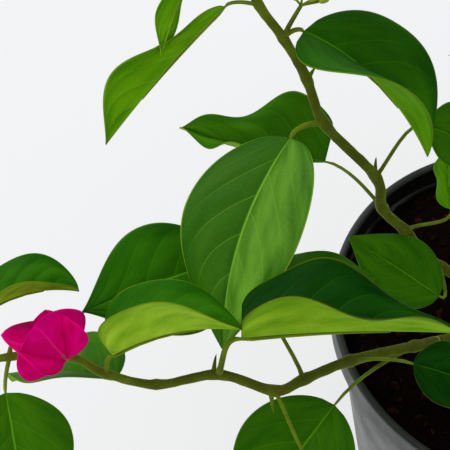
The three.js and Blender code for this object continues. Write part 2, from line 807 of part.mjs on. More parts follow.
// The pot's wall, rolled rim and floor as one turned profile, with drain holes cut through the floor.
function potSolid() {
  const shoulder = pot.height - pot.rimHeight;
  const inner = pot.rimRadius - 3;
  const profile = [
    [0, 0], [pot.footRadius - 1.5, 0], [pot.footRadius, 1.5], [pot.shoulderRadius, shoulder],
    [pot.rimRadius - 1, shoulder], [pot.rimRadius, shoulder + 1.5], [pot.rimRadius, pot.height - 1],
    [pot.rimRadius - 1, pot.height], [inner, pot.height], [inner - 1, pot.height - 1.5],
    [pot.shoulderRadius - pot.wall, shoulder], [pot.footRadius - pot.wall, pot.floor], [0, pot.floor],
  ];
  const points = profile.map(([radius, height]) => new THREE.Vector2(radius, height));
  const turned = new THREE.LatheGeometry(points, pot.sides).rotateX(Math.PI / 2);
  let solid = solidFromGeometry(turned);
  for (let k = 0; k < pot.drainCount; k += 1) {
    const angle = (2 * Math.PI * k) / pot.drainCount;
    const drain = new THREE.CylinderGeometry(pot.drainRadius, pot.drainRadius, 4 * pot.floor, 8);
    drain.rotateX(Math.PI / 2);
    drain.translate(pot.drainCircle * Math.cos(angle), pot.drainCircle * Math.sin(angle), pot.floor / 2);
    solid = solid.subtract(solidFromGeometry(drain));
  }
  return solid;
}

// The soil fills the pot to just under its rim. Its top is lumpy, and flat under the trunk.
function soilSolid() {
  const shoulder = pot.height - pot.rimHeight;
  const foot = pot.footRadius - pot.wall - touchGap - 0.2;
  const top = pot.shoulderRadius - pot.wall - touchGap - 0.4;
  const edge = foot + (top - foot) * ((soilLevel - 2 - pot.floor) / (shoulder - pot.floor));
  const profile = [
    [0, pot.floor + touchGap], [foot, pot.floor + touchGap], [edge, soilLevel - 2],
    ...soilRings.toReversed().map((radius) => [radius, soilLevel]), [0, soilLevel],
  ];
  const points = profile.map(([radius, height]) => new THREE.Vector2(radius, height));
  const turned = new THREE.LatheGeometry(points, 32).rotateX(Math.PI / 2);
  const position = turned.attributes.position;
  for (let i = 0; i < position.count; i += 1) {
    const radius = Math.hypot(position.getX(i), position.getY(i));
    if (position.getZ(i) > soilLevel - 1 && radius > soilRings[0] + 1) {
      const angle = Math.atan2(position.getY(i), position.getX(i));
      const lump = Math.sin(5 * angle + radius * 0.31) * Math.cos(3 * angle - radius * 0.17);
      position.setZ(i, soilLevel + soilLump * (lump - 0.4));
    }
  }
  return solidFromGeometry(turned);
}

const plant = new THREE.Group();
plant.add(meshOf('pot', potSolid(), 0x151617, 0.45));
plant.add(meshOf('soil', soilSolid(), 0x2a1d15, 0.95));
plant.add(meshOf('trunk', trunkSolid(0), 0x6b5a3a, 0.9));
for (const shoot of shoots) {
  plant.add(meshOf(`bough_${shoot.name}`, boughSolid(shoot), lightGreen, 0.7));
  plant.add(meshOf(`foliage_${shoot.name}`, massSolid(shoot), deepGreen, 0.5));
}

export default plant;
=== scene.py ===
"""A young bougainvillea bush in a black nursery pot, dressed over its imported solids."""

import math
import random

import bmesh
import bpy
import numpy as np
from mathutils import Matrix, Vector, noise


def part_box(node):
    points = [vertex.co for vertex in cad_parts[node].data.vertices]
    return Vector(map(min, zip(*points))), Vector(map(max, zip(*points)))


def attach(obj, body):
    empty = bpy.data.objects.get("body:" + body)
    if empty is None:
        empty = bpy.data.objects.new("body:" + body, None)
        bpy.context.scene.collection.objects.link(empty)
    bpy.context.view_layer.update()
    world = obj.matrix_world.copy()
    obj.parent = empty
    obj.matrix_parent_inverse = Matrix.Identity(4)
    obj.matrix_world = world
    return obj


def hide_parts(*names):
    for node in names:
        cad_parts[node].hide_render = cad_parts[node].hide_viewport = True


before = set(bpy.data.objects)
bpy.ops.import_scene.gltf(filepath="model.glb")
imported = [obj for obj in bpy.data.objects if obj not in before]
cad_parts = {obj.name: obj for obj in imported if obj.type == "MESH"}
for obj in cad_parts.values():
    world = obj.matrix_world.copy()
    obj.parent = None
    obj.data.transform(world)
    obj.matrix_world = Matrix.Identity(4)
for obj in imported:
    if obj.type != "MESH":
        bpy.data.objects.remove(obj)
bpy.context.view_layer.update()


# Studio
# A long lens over the front left of the plant looks down on the two nearest shoots. The plant
# stands on a white lit sweep under a bright even sky, with a broad soft light high on the left.
def new_object(name, data):
    made = bpy.data.objects.new(name, data)
    bpy.context.scene.collection.objects.link(made)
    return made


def new_mesh(name, bm, materials=()):
    """A mesh made of a bmesh, which is used up, with its materials."""
    mesh = bpy.data.meshes.new(name)
    bm.to_mesh(mesh)
    bm.free()
    for material in materials:
        mesh.materials.append(material)
    return mesh


def new_material(name, colour, roughness, **sockets):
    """A material with one Principled shader. Constant values sit on the shader's own sockets."""
    material = bpy.data.materials.new(name)
    material.use_nodes = True
    material.diffuse_color = (*colour, 1)
    shader = material.node_tree.nodes["Principled BSDF"]
    shader.inputs["Base Color"].default_value = (*colour, 1)
    shader.inputs["Roughness"].default_value = roughness
    for socket, value in sockets.items():
        shader.inputs[socket.replace("_", " ")].default_value = value
    return material, material.node_tree


camera = new_object("camera", bpy.data.cameras.new("camera"))
bpy.context.scene.camera = camera
camera.location = (-0.131, -0.272, 0.616)
camera.rotation_euler = (math.radians(34), 0, 0)
camera.data.lens = 100
camera.data.sensor_width = 36
camera.data.clip_start = 0.01

sky = bpy.data.worlds.new("sky")
sky.use_nodes = True
sky_light = sky.node_tree.nodes["Background"]
sky_light.inputs["Color"].default_value = (0.97, 0.98, 1.0, 1)
sky_light.inputs["Strength"].default_value = 0.62
bpy.context.scene.world = sky
bpy.context.scene.view_settings.view_transform = "Standard"
window = new_object("window_light", bpy.data.lights.new("window_light", "SUN"))
window.data.energy = 1.75
window.data.angle = math.radians(38)
window.rotation_euler = Vector((-0.5, 0.35, 1)).to_track_quat("Z", "Y").to_euler()

sweep_bm = bmesh.new()
bmesh.ops.create_grid(sweep_bm, x_segments=1, y_segments=1, size=60)
white_sweep, _ = new_material(
    "white_sweep", (0.32, 0.32, 0.32), 0.9, Emission_Color=(0.97, 0.98, 1, 1), Emission_Strength=0.56
)
new_object("floor", new_mesh("floor", sweep_bm, [white_sweep]))


# Pot
# A round nursery pot, injection moulded in black polypropylene: a thin tapered wall, a stepped
# collar that stiffens the rim, and six drain holes. It has handling scuffs and a little dust.
def new_piece(name, bm, materials, slot, *nodes):
    """Makes a finished piece of a bmesh. It rides with the plant and stands for CAD nodes."""
    mesh = new_mesh(name, bm, materials)
    for face in mesh.polygons:
        face.use_smooth = True
    piece = new_object(name, mesh)
    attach(piece, "root")
    if nodes:
        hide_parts(*nodes)
    return piece


def turned(profile, steps, merge):
    """A profile of radii and heights, spun round the pot's axis and closed on it."""
    bm = bmesh.new()
    corners = [bm.verts.new((radius, 0, height)) for radius, height in profile]
    edges = [bm.edges.new(pair) for pair in zip(corners, corners[1:])]
    bmesh.ops.spin(
        bm, geom=corners + edges, cent=(0, 0, 0), axis=(0, 0, 1), angle=math.tau, steps=steps, use_merge=True
    )
    bmesh.ops.remove_doubles(bm, verts=bm.verts, dist=merge)
    return bm


def add_node(tree, kind, inputs=(), **settings):
    """A shader node with its settings made and its sockets filled or linked."""
    made = tree.nodes.new(kind)
    for key, value in settings.items():
        setattr(made, key, value)
    for socket, value in dict(inputs).items():
        if isinstance(value, bpy.types.NodeSocket):
            tree.links.new(value, made.inputs[socket])
        else:
            made.inputs[socket].default_value = value
    return made


def maths(tree, operation, first, second=0.0, third=0.0, **settings):
    values = {0: first, 1: second, 2: third}
    return add_node(tree, "ShaderNodeMath", values, operation=operation, **settings).outputs[0]


def ramped(tree, value, start, end, low=0.0, high=1.0, **settings):
    """A value's way from start to end, as a number from low to high."""
    values = {0: value, 1: start, 2: end, 3: low, 4: high}
    return add_node(tree, "ShaderNodeMapRange", values, **settings).outputs[0]


def mixed(tree, share, under, over):
    """A share of one colour over another. Each is a socket or three numbers."""
    under, over = (c if isinstance(c, bpy.types.NodeSocket) else (*c, 1) for c in (under, over))
    return add_node(tree, "ShaderNodeMix", {0: share, 6: under, 7: over}, data_type="RGBA").outputs[2]


def clouds(tree, place, scale, detail, **more):
    values = {"Vector": place, "Scale": scale, "Detail": detail, **more}
    return add_node(tree, "ShaderNodeTexNoise", values).outputs[0]


def pressed(tree, height, strength, distance, **settings):
    """The normal of a surface with a height pressed into it."""
    values = {"Strength": strength, "Distance": distance, "Height": height}
    return add_node(tree, "ShaderNodeBump", values, **settings).outputs[0]


def object_place(tree):
    return add_node(tree, "ShaderNodeTexCoord").outputs["Object"]


def feed(tree, **sockets):
    """Links what varies over the surface to the material's shader."""
    for socket, value in sockets.items():
        tree.links.new(value, tree.nodes["Principled BSDF"].inputs[socket.replace("_", " ")])


def new_group(name, inputs, outputs):
    """An empty node group with named sockets, its input node and its output node."""
    group = bpy.data.node_groups.new(name, "ShaderNodeTree")
    for socket, kind in inputs.items():
        group.interface.new_socket(socket, in_out="INPUT", socket_type=kind)
    for socket in outputs:
        group.interface.new_socket(socket, in_out="OUTPUT", socket_type="NodeSocketFloat")
    return group, group.nodes.new("NodeGroupInput"), group.nodes.new("NodeGroupOutput")


def wear_group():
    """Patches and fine scratches, as two masks over the surface."""
    group, given, put = new_group("wear", {"Vector": "NodeSocketVector"}, ("Patches", "Scratches"))
    patches = clouds(group, given.outputs[0], 22, 6, Roughness=0.62)
    drawn = add_node(group, "ShaderNodeMapping", {"Vector": given.outputs[0], "Scale": (60, 60, 900)})
    scratches = clouds(group, drawn.outputs[0], 1, 3)
    group.links.new(ramped(group, patches, 0.48, 0.72), put.inputs[0])
    group.links.new(ramped(group, scratches, 0.62, 0.7), put.inputs[1])
    return group


pot_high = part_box("pot")[1]
rim_radius, pot_height = pot_high.x, pot_high.z
foot_radius, shoulder_radius, collar_height, pot_wall = 0.060, 0.081, 0.013, 0.002
shoulder = pot_height - collar_height
pot_profile = [
    (0, 0.0012), (0.022, 0.0012), (0.0228, 0.0004), (foot_radius - 0.006, 0.0004),
    (foot_radius - 0.004, 0), (foot_radius - 0.0012, 0), (foot_radius, 0.0016),
    (foot_radius + 0.0016, 0.014), (foot_radius + 0.0024, 0.0146),
    (shoulder_radius - 0.0003, shoulder - 0.002), (shoulder_radius, shoulder),
    (rim_radius - 0.0010, shoulder), (rim_radius, shoulder + 0.0012),
    (rim_radius - 0.0003, pot_height - 0.004), (rim_radius, pot_height - 0.0036),
    (rim_radius, pot_height - 0.0009), (rim_radius - 0.0009, pot_height),
    (rim_radius - 0.0028, pot_height), (rim_radius - 0.0036, pot_height - 0.0012),
    (rim_radius - 0.0039, shoulder + 0.001), (shoulder_radius - pot_wall, shoulder - 0.001),
    (foot_radius - pot_wall, 0.0026), (0, 0.0026),
]
pot_steps = 120
pot_bm = turned(pot_profile, pot_steps, 1e-6)
bmesh.ops.recalc_face_normals(pot_bm, faces=pot_bm.faces)
sharp = math.radians(28)
creases = [e for e in pot_bm.edges if len(e.link_faces) == 2 and e.calc_face_angle(0) > sharp]
bmesh.ops.bevel(
    pot_bm, geom=creases, offset=0.0004, affect="EDGES", segments=2, profile=0.5, material=-1,
    clamp_overlap=True,
)
bmesh.ops.remove_doubles(pot_bm, verts=pot_bm.verts, dist=5e-6)
# Half a step of turn keeps the pot's edges off the edges of the drain holes.
half_step = Matrix.Rotation(math.pi / pot_steps, 4, "Z")
bmesh.ops.transform(pot_bm, matrix=half_step, verts=pot_bm.verts)

black = (0.004, 0.004, 0.004)
plastic, tree = new_material("black_plastic", black, 0.42, Specular_IOR_Level=0.6)
place = object_place(tree)
worn = add_node(tree, "ShaderNodeGroup", {0: place}, node_tree=wear_group())
height = add_node(tree, "ShaderNodeSeparateXYZ", {0: place}).outputs[2]
dust = maths(tree, "MULTIPLY", worn.outputs["Patches"], ramped(tree, height, 0.045, 0.0))
scuffed = mixed(tree, worn.outputs["Scratches"], black, (0.022, 0.022, 0.023))
feed(
    tree, Base_Color=mixed(tree, dust, scuffed, (0.10, 0.085, 0.07)),
    Roughness=ramped(tree, worn.outputs["Patches"], 0.0, 1.0, 0.36, 0.58),
    Normal=pressed(tree, clouds(tree, place, 900, 2), 0.25, 0.0002),
)
pot_piece = new_piece("nursery_pot", pot_bm, [plastic], "pot_plastic", "pot")

drain_count, drain_radius, drain_circle = 6, 0.004, 0.038
drain_bm = bmesh.new()
for k in range(drain_count):
    angle = math.tau * k / drain_count
    spot = Matrix.Translation((drain_circle * math.cos(angle), drain_circle * math.sin(angle), 0))
    bmesh.ops.create_cone(
        drain_bm, cap_ends=True, segments=32, radius1=drain_radius, radius2=drain_radius, depth=0.02,
        matrix=spot,
    )
drains = new_object("drains", new_mesh("drains", drain_bm))
cut = pot_piece.modifiers.new("cut", "BOOLEAN")
cut.operation = "DIFFERENCE"
cut.object = drains
drilled = pot_piece.evaluated_get(bpy.context.evaluated_depsgraph_get())
pot_piece.data = bpy.data.meshes.new_from_object(drilled)
pot_piece.modifiers.clear()
bpy.data.objects.remove(drains)


# Soil
# Peat-based potting mix, watered flat to just under the rim. Its top is crumbly, with bits of
# composted bark and a few grains of perlite pressed into it.
soil_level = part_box("trunk")[0].z - 0.0003
soil_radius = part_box("soil")[1].x
soil_steps, soil_turns = 56, 190


def crumble(x, y):
    """The height of the soil's crumbs over its level at a place."""
    coarse = noise.noise((x * 60, y * 60, 0.3))
    fine = noise.noise((x * 230, y * 230, 4.1))
    grit = noise.noise((x * 620, y * 620, 7.7))
    return 0.0016 * coarse + 0.0012 * fine + 0.0006 * grit - 0.0006


def speckled(name, dark, light, scale=900, roughness=0.92):
    """A dull grainy material, clouded between a dark and a light colour."""
    material, tree = new_material(name, light, roughness, Specular_IOR_Level=0.03)
    cloud = clouds(tree, object_place(tree), scale, 3)
    colour = mixed(tree, ramped(tree, cloud, 0.35, 0.65), dark, light)
    feed(tree, Base_Color=colour, Normal=pressed(tree, cloud, 0.4, 0.0002))
    return material


spoke = [(soil_radius * 1.004 * k / soil_steps, soil_level) for k in range(soil_steps + 1)]
soil_bm = turned(spoke, soil_turns, 1e-5)
for corner in soil_bm.verts:
    # The soil is level under the foot of the trunk.
    rough = min(1, max(0, (corner.co.xy.length - 0.012) / 0.006))
    corner.co.z += rough * crumble(corner.co.x, corner.co.y)
soil_rim = [e for e in soil_bm.edges if e.is_boundary]
dropped = bmesh.ops.extrude_edge_only(soil_bm, edges=soil_rim)["geom"]
for corner in (part for part in dropped if isinstance(part, bmesh.types.BMVert)):
    corner.co.xy *= (foot_radius - pot_wall - 0.0005) / corner.co.xy.length
    corner.co.z = 0.003
bmesh.ops.holes_fill(soil_bm, edges=[e for e in soil_bm.edges if e.is_boundary])
bmesh.ops.recalc_face_normals(soil_bm, faces=soil_bm.faces)

# The peat is near black: dark peat, darkened further as painted shade inside the pot.
peat, tree = new_material("peat", (0.006, 0.0035, 0.002), 0.95, Specular_IOR_Level=0.03)
place = object_place(tree)
clods = add_node(tree, "ShaderNodeTexVoronoi", {"Vector": place, "Scale": 420})
peat_and_shade_colour = mixed(tree, clouds(tree, place, 130, 5), (0.0004, 0.0003, 0.0003), (0.008, 0.003, 0.0015))
feed(tree, Base_Color=peat_and_shade_colour, Normal=pressed(tree, clods.outputs[0], 0.8, 0.0012))
new_piece("potting_soil", soil_bm, [peat], "potting_soil", "soil")

crumb_count, crumb_shares, perlite = 620, (40, 58, 2), 2
crumb_colours = [
    speckled("bark_chip", (0.008, 0.002, 0.001), (0.040, 0.011, 0.004)),
    speckled("bark_chip_dark", (0.002, 0.001, 0.001), (0.009, 0.004, 0.002)),
    speckled("perlite", (0.20, 0.17, 0.13), (0.36, 0.33, 0.28)),
]
crumb_bm = bmesh.new()
crumb_random = random.Random(17)
noise.seed_set(17)
for _ in range(crumb_count):
    reach = soil_radius * math.sqrt(crumb_random.uniform(0.04, 0.96))
    angle = crumb_random.uniform(0, math.tau)
    x, y = reach * math.cos(angle), reach * math.sin(angle)
    kind = crumb_random.choices((0, 1, 2), crumb_shares)[0]
    size = crumb_random.uniform(0.0009, 0.0032) * (0.6 if kind == perlite else 1)
    turn, tilt = crumb_random.uniform(0, math.tau), crumb_random.uniform(-0.5, 0.5)
    broad, flat = crumb_random.uniform(0.4, 0.9), crumb_random.uniform(0.25, 0.6)
    lay = Matrix.Translation((x, y, soil_level + crumble(x, y) + 0.0003))
    lay = lay @ (Matrix.Rotation(turn, 4, "Z") @ Matrix.Rotation(tilt, 4, "X"))
    lay = lay @ Matrix.Diagonal((size, size * broad, size * flat, 1))
    for corner in bmesh.ops.create_icosphere(crumb_bm, subdivisions=1, radius=1, matrix=lay)["verts"]:
        corner.co += 0.25 * size * noise.noise_vector(corner.co * 700)
        for face in corner.link_faces:
            face.material_index = kind
new_piece("soil_crumbs", crumb_bm, crumb_colours, "potting_soil")


# Trunk
# The woody stump that all shoots leave: grey-brown bark in lengthwise ridges, on a swollen foot
# of three lobes. The boughs grow out of it one above the other.
MM = 0.001


def smooth_path(points, step):
    """A rounded line through the points, with a point about every step."""
    line = []
    for i in range(len(points) - 1):
        p0, p1, p2, p3 = (points[min(max(k, 0), len(points) - 1)] for k in (i - 1, i, i + 1, i + 2))
        square, cube = 2 * p0 - 5 * p1 + 4 * p2 - p3, 3 * p1 - p0 - 3 * p2 + p3
        count = max(2, round((p2 - p1).length / step))
        for k in range(count):
            t = k / count
            line.append(0.5 * (2 * p1 + (p2 - p0) * t + square * t * t + cube * t ** 3))
    return line + [points[-1]]


def sections(points):
    """A turned frame at each point of a line, with its Z along the line and no twist."""
    frames = []
    across = None
    for i, point in enumerate(points):
        along = (points[min(i + 1, len(points) - 1)] - points[max(i - 1, 0)]).normalized()
        across = along.orthogonal() if across is None else across
        across = (across - along * across.dot(along)).normalized()
        turn = Matrix((across, along.cross(across), along)).transposed().to_4x4()
        turn.translation = point
        frames.append(turn)
    return frames


def sweep(bm, points, radii, sides, ages, pointed=False):
    """Draws a round section along the points, in metres, and closes both ends."""
    age = bm.verts.layers.float.get("age") or bm.verts.layers.float.new("age")
    frames = sections(points)
    start = frames[0] @ Matrix.Diagonal((radii[0],) * 3 + (1,))
    ring = bmesh.ops.create_circle(bm, cap_ends=True, segments=sides, radius=1, matrix=start)["verts"]
    made = list(ring)
    for corner in ring:
        corner[age] = ages[0]
    edges = list(ring[0].link_faces[0].edges)
    for i in range(1, len(points)):
        grown = bmesh.ops.extrude_edge_only(bm, edges=edges)["geom"]
        ring = [part for part in grown if isinstance(part, bmesh.types.BMVert)]
        fresh = set(ring)
        edges = [part for part in grown if isinstance(part, bmesh.types.BMEdge) and set(part.verts) <= fresh]
        move = frames[i] @ Matrix.Diagonal((radii[i] / radii[i - 1],) * 3 + (1,)) @ frames[i - 1].inverted()
        bmesh.ops.transform(bm, matrix=move, verts=ring)
        share = i / (len(points) - 1)
        for corner in ring:
            corner[age] = ages[0] + (ages[1] - ages[0]) * share
        made += ring
    bmesh.ops.contextual_create(bm, geom=edges)
    if pointed:
        bmesh.ops.pointmerge(bm, verts=ring, merge_co=points[-1])
        made = [corner for corner in made if corner.is_valid]
    bmesh.ops.recalc_face_normals(bm, faces=list({face for corner in made for face in corner.link_faces}))
    return made


def roughen(corners, amount, scale):
    """Moves a surface in and out by noise, for bark and for rough green stems."""
    for corner in corners:
        x, y, z = (value * scale for value in corner.co)
        wave, ridge = noise.noise((x, y, z * 0.35)), noise.noise((x * 3, y * 3, z * 0.8))
        corner.co += corner.normal * amount * (wave + 0.5 * ridge)


def bark_group():
    """Fissures and flecks of woody bark, as a height and a colour mask."""
    group, given, put = new_group("bark", {"Vector": "NodeSocketVector"}, ("Height", "Flecks"))
    drawn = add_node(group, "ShaderNodeMapping", {"Vector": given.outputs[0], "Scale": (1, 1, 0.28)})
    flecks = add_node(group, "ShaderNodeTexVoronoi", {"Vector": given.outputs[0], "Scale": 520})
    group.links.new(clouds(group, drawn.outputs[0], 620, 5, Distortion=0.6), put.inputs[0])
    group.links.new(ramped(group, flecks.outputs[0], 0.22, 0.12), put.inputs[1])
    return group


bark_pattern = bark_group()


def stem_material(name, old, mid, young, fleck, roughness, **sockets):
    """Bark that turns to green skin with the piece's own age attribute, 0 old and 1 young.
    On the canes this attribute also holds painted shade and light, by the side a surface faces.
    """
    material, tree = new_material(name, mid, roughness, **sockets)
    place = object_place(tree)
    bark = add_node(tree, "ShaderNodeGroup", {0: place}, node_tree=bark_pattern)
    age = add_node(tree, "ShaderNodeAttribute", attribute_name="age").outputs["Fac"]
    drift = ramped(tree, clouds(tree, place, 170, 4), 0.0, 1.0, -0.32, 0.32)
    ramp = add_node(tree, "ShaderNodeValToRGB", {0: maths(tree, "ADD", age, drift, use_clamp=True)})
    ramp.color_ramp.elements[0].color = (*old, 1)
    ramp.color_ramp.elements[1].color = (*young, 1)
    ramp.color_ramp.elements.new(0.5).color = (*mid, 1)
    flecked = maths(tree, "MULTIPLY", bark.outputs["Flecks"], 0.55)
    feed(
        tree, Base_Color=mixed(tree, flecked, ramp.outputs[0], fleck),
        Normal=pressed(tree, bark.outputs["Height"], 0.45, 0.0004),
    )
    return material


trunk_bark = stem_material(
    "trunk_bark", (0.075, 0.055, 0.036), (0.11, 0.085, 0.05), (0.16, 0.14, 0.07), (0.22, 0.19, 0.14), 0.88,
    Specular_IOR_Level=0.2,
)
# Each ring's rise over the soil, its lean and its radius, in millimetres.
trunk_rings = [
    (0, 0, 12.5), (4, 0, 9.6), (12, 0.4, 8), (19, 0.8, 8.5), (28, 0.6, 7), (36, 0.9, 6.4), (41, 1, 3.6),
]
trunk_flare, trunk_height = 0.16, trunk_rings[-1][0]
ring_rises, _, ring_radii = zip(*trunk_rings)
ring_middles = [Vector((lean, 0, soil_level / MM + rise)) * MM for rise, lean, _ in trunk_rings]
trunk_line = smooth_path(ring_middles, 0.0007)
rises = [(point.z - soil_level) / MM for point in trunk_line]
widths = [MM * float(np.interp(rise, ring_rises, ring_radii)) for rise in rises]
trunk_bm = bmesh.new()
trunk_corners = sweep(trunk_bm, trunk_line, widths, sides=56, ages=(0.0, 0.5))
for corner in trunk_corners:
    rise = (corner.co.z - soil_level) / MM
    angle = math.atan2(corner.co.y, corner.co.x)
    lobes = trunk_flare * max(0, 1 - rise / trunk_height) ** 3 * math.cos(3 * angle)
    furrow = 0.05 * noise.noise((3 * math.cos(angle * 2), 3 * math.sin(angle * 2), rise * 0.09))
    corner.co.xy *= 1 + lobes + furrow
trunk_bm.normal_update()
roughen(trunk_corners, amount=0.0008, scale=330)
new_piece("trunk_wood", trunk_bm, [trunk_bark], "woody_stem", "trunk")


# Shoots
# Long arching canes of this year and last. Each zigzags from leaf to leaf, swells at its nodes
# and tapers to a soft green tip. The two on the left are the ones the camera looks at; the rest
# grow by one seeded rule, each in a sector of its own. Sizes here are millimetres and degrees.
def direction(heading, pitch):
    level = math.cos(math.radians(pitch))
    turn = math.radians(heading)
    return np.array((level * math.cos(turn), level * math.sin(turn), math.sin(math.radians(pitch))))


def seeded(seed):
    """Even numbers from 0 to 1, the same ones on every run."""
    state = seed
    while True:
        state = (state * 1664525 + 1013904223) % 4294967296
        yield state / 4294967296


def leaf_row(on, finish, stalk, size, aim, thick=0.8, rise=0.12, **shape):
    """A given leaf: its node, its top's and underside's green, its stalk (reach,
    heading, pitch), size and aim (heading, pitch, roll), and its stalk's radius and arch."""
    shape = {"size": size, "aim": aim, **shape}
    return {"on": on, "finish": finish, "stalk": stalk, "thick": thick, "rise": rise, "shape": shape}


# A shoot's steps are (reach, heading, pitch) from node to node, and its thorns are (node, shift
# along the cane, heading, pitch, length). It leaves its bough a share of the way to a node.
left_high = {
    "name": "left_high", "foot": 150, "enter": (1, 0.85), "leaves_from": 10, "leaf_length": 56, "seed": 71,
    "steps": [
        (54, 180, 37), (28, 171, 53), (19, 181, 56), (17, 143, 73), (35, 172, 53), (19, 130, 54),
        (17, 141, 50), (15, 152, 50), (13, 131, 56), (26, 144, 58), (23, 112, 62), (21, 160, 55),
        (17, 110, 60),
    ],
    "thorns": [(4, 0.5, 90, 34, 8), (6, -1, 60, 30, 6), (10, 0, 250, 10, 6), (12, 0, 60, 20, 6)],
    "placed": [
        leaf_row(1, "mid pale", (20, 261, 21), (43, 28), (150, 16, -25), curl=15),
        leaf_row(2, "fresh pale", (23, 355, 47), (25, 14), (98, 48, -62), curl=10, cup=(25, 25, 25, 25)),
        leaf_row(3, "mid pale", (30, 135, 4), (64, 46), (157, -9, 12), curl=4, cup=(45, 45, 48, 86), wave=4.5,
                 ripples=1.7, phase=3, bow=4, peak=0.26, shoulder=0.45, point=1.1),
        leaf_row(4, "mid pale", (27, 32, 39), (37, 28), (1, -35, 17), curl=15, cup=(20, 20, 20, 20)),
        leaf_row(5, "lit pale", (14, 207, 2), (80, 46), (248, -36, -8), 1.15, 0.3, curl=20,
                 cup=(38, 38, 0, 4), wave=1, bow=-6, peak=0.42, shoulder=0.6),
        leaf_row(7, "deep green", (8, 0, 28), (61, 51), (321, -25, -16), 1.0, 0.3, curl=40,
                 cup=(20, 36, 5, 100), wave=1, bow=2, peak=0.42, shoulder=0.6),
        leaf_row(8, "deep green", (12, 188, 6), (62, 28), (222, -28, 85), curl=26, cup=(62, 20, 55, 60),
                 wave=4.5, ripples=1.2, phase=2.2, bow=-5, peak=0.58, shoulder=0.8, point=0.85),
        leaf_row(9, "fresh green", (19, 176, 45), (43, 15), (234, -52, 101), curl=10, cup=(30, 30, 30, 30)),
        leaf_row(9, "deep pale", (20, 352, 22), (50, 34), (352, -4, -12), curl=22, cup=(24, 24, 24, 24)),
    ],
}
left_low = {
    "name": "left_low", "foot": 142, "enter": (3, 0.4), "leaves_from": 13, "leaf_length": 44, "seed": 29,
    "steps": [
        (22, 223, 28), (40, 213, 38), (27, 215, 37), (37, 211, 31), (21, 210, 14), (12, 208, 11),
        (21, 172, 19), (22, 192, 4), (18, 176, 19), (14, 167, 29), (20, 185, 10), (14, 198, -3),
        (14, 207, -12), (15, 201, -16),
    ],
    "thorns": [(6, 1.4, 272, -34, 8.4), (7, 1.8, 88, 34, 7.6), (11, 0, 90, 20, 6), (13, 0, 260, -30, 6)],
    "placed": [
        leaf_row(3, "mid pale", (44, 221, 10), (60, 44), (228, -25, -10), curl=14),
        # Painted shade: the dark green, for a leaf in the shade of others.
        leaf_row(4, "dark pale", (25, 6, -16), (40, 26), (351, -21, 12), curl=15),
        leaf_row(5, "mid pale", (30, 110, 25), (50, 34), (30, -25, 0), curl=15),
        leaf_row(6, "deep pale", (26, 300, -30), (40, 28), (310, -35, -8), curl=10),
        # Painted shade: the dark green, for a leaf in the shade of others.
        leaf_row(7, "dark pale", (20, 32, 63), (74, 48), (1, 1, -33), 1.15, 0.42, curl=10,
                 cup=(58, 50, 66, 50), wave=3.5, phase=3.87, peak=0.34, shoulder=0.45),
        leaf_row(9, "deep bright", (8, 55, 59), (46, 48), (9, 6, -36), 1.0, 0.3, curl=40,
                 cup=(45, 40, 72, 45), wave=1, peak=0.38, shoulder=0.45),
        leaf_row(9, "mid pale", (9, 39, -66), (62, 40), (156, -40, 30), curl=20, cup=(30, 30, 30, 30)),
        leaf_row(10, "deep pale", (17, 79, 5), (74, 46), (36, -21, 4), curl=10, cup=(20, 20, 0, -8), wave=1,
                 peak=0.52, shoulder=1.1),
        leaf_row(11, "mid pale", (12, 265, -24), (50, 40), (280, -44, -11), curl=10),
        leaf_row(12, "deep pale", (17, 81, 40), (36, 28), (16, 3, -30), curl=55, cup=(50, 50, 50, 50), wave=1,
                 peak=0.5, shoulder=0.7, point=0.6),
    ],
    "bloom": {
        "on": 10, "stalk": (10.2, 272, 57), "axis": (148, 44), "turn": 75, "spread": 0.36,
        "bracts": [(22, 29), (18, 32), (23, 30)],
        "shape": {"cup": (10, 25, 10, 25), "wave": 0.5, "peak": 0.38, "shoulder": 0.7, "point": 0.7},
    },
}
end_bloom = {
    "stalk": (9, 0, 70), "axis": (0, 75), "turn": 30, "spread": 0.7, "bracts": [(29, 24.94)] * 3,
    "shape": {"cup": (24, 8, 24, 8), "wave": 1.2, "peak": 0.46, "shoulder": 0.6, "point": 0.7},
}
rule_columns = (
    "name", "foot", "heading", "pitch", "veer", "rise", "count", "step", "sector", "leaf_length", "seed",
    "blooms",
)
rule_rows = [
    ("front_left", 153, 262, 31, -7, -3, 10, 26, (200, 268), 72, 12, True),
    ("front", 163, 286, 42, -1, -4, 9, 26, (266, 303), 76, 5, False),
    ("front_right", 147, 317, 33, 2, -3, 9, 27, (301, 338), 78, 8, True),
    ("right", 158, 355, 41, -1, -4, 9, 27, (336, 378), 76, 21, False),
    ("back_right", 146, 36, 34, 1, -3, 9, 27, (16, 58), 78, 34, True),
    ("back", 160, 76, 42, 0, -4, 9, 26, (56, 97), 76, 43, False),
    ("back_left", 148, 108, 40, 0, -3, 9, 27, (95, 160), 75, 57, True),
    ("top_right", 166, 330, 70, 3, -2, 9, 25, None, 74, 64, False),
    ("top_back", 162, 100, 66, -3, -1, 8, 26, None, 74, 92, True),
]
shoots = [left_high, left_low]
for row in rule_rows:
    shoot = dict(zip(rule_columns, row), enter=(3, 0.5), leaves_from=3)
    draw = seeded(shoot["seed"])
    shoot["steps"] = []
    for i in range(shoot["count"]):
        side = 1 if i % 2 else -1
        reach = shoot["step"] * (0.82 + 0.36 * next(draw))
        heading = shoot["heading"] + shoot["veer"] * i + side * 11 + 9 * (next(draw) - 0.5)
        shoot["steps"].append((reach, heading, shoot["pitch"] + shoot["rise"] * i + 9 * (next(draw) - 0.5)))
    if shoot["blooms"]:
        shoot["bloom"] = {**end_bloom, "on": shoot["count"]}
    shoots.append(shoot)
for shoot in shoots:
    shoot["knots"] = [np.array((0.0, 0.0, shoot["foot"]))]
    for reach, heading, pitch in shoot["steps"]:
        shoot["knots"].append(shoot["knots"][-1] + reach * direction(heading, pitch))


pot_reach, pot_clear, lowest_leaf, shared_core = 93, 158, 116, 28


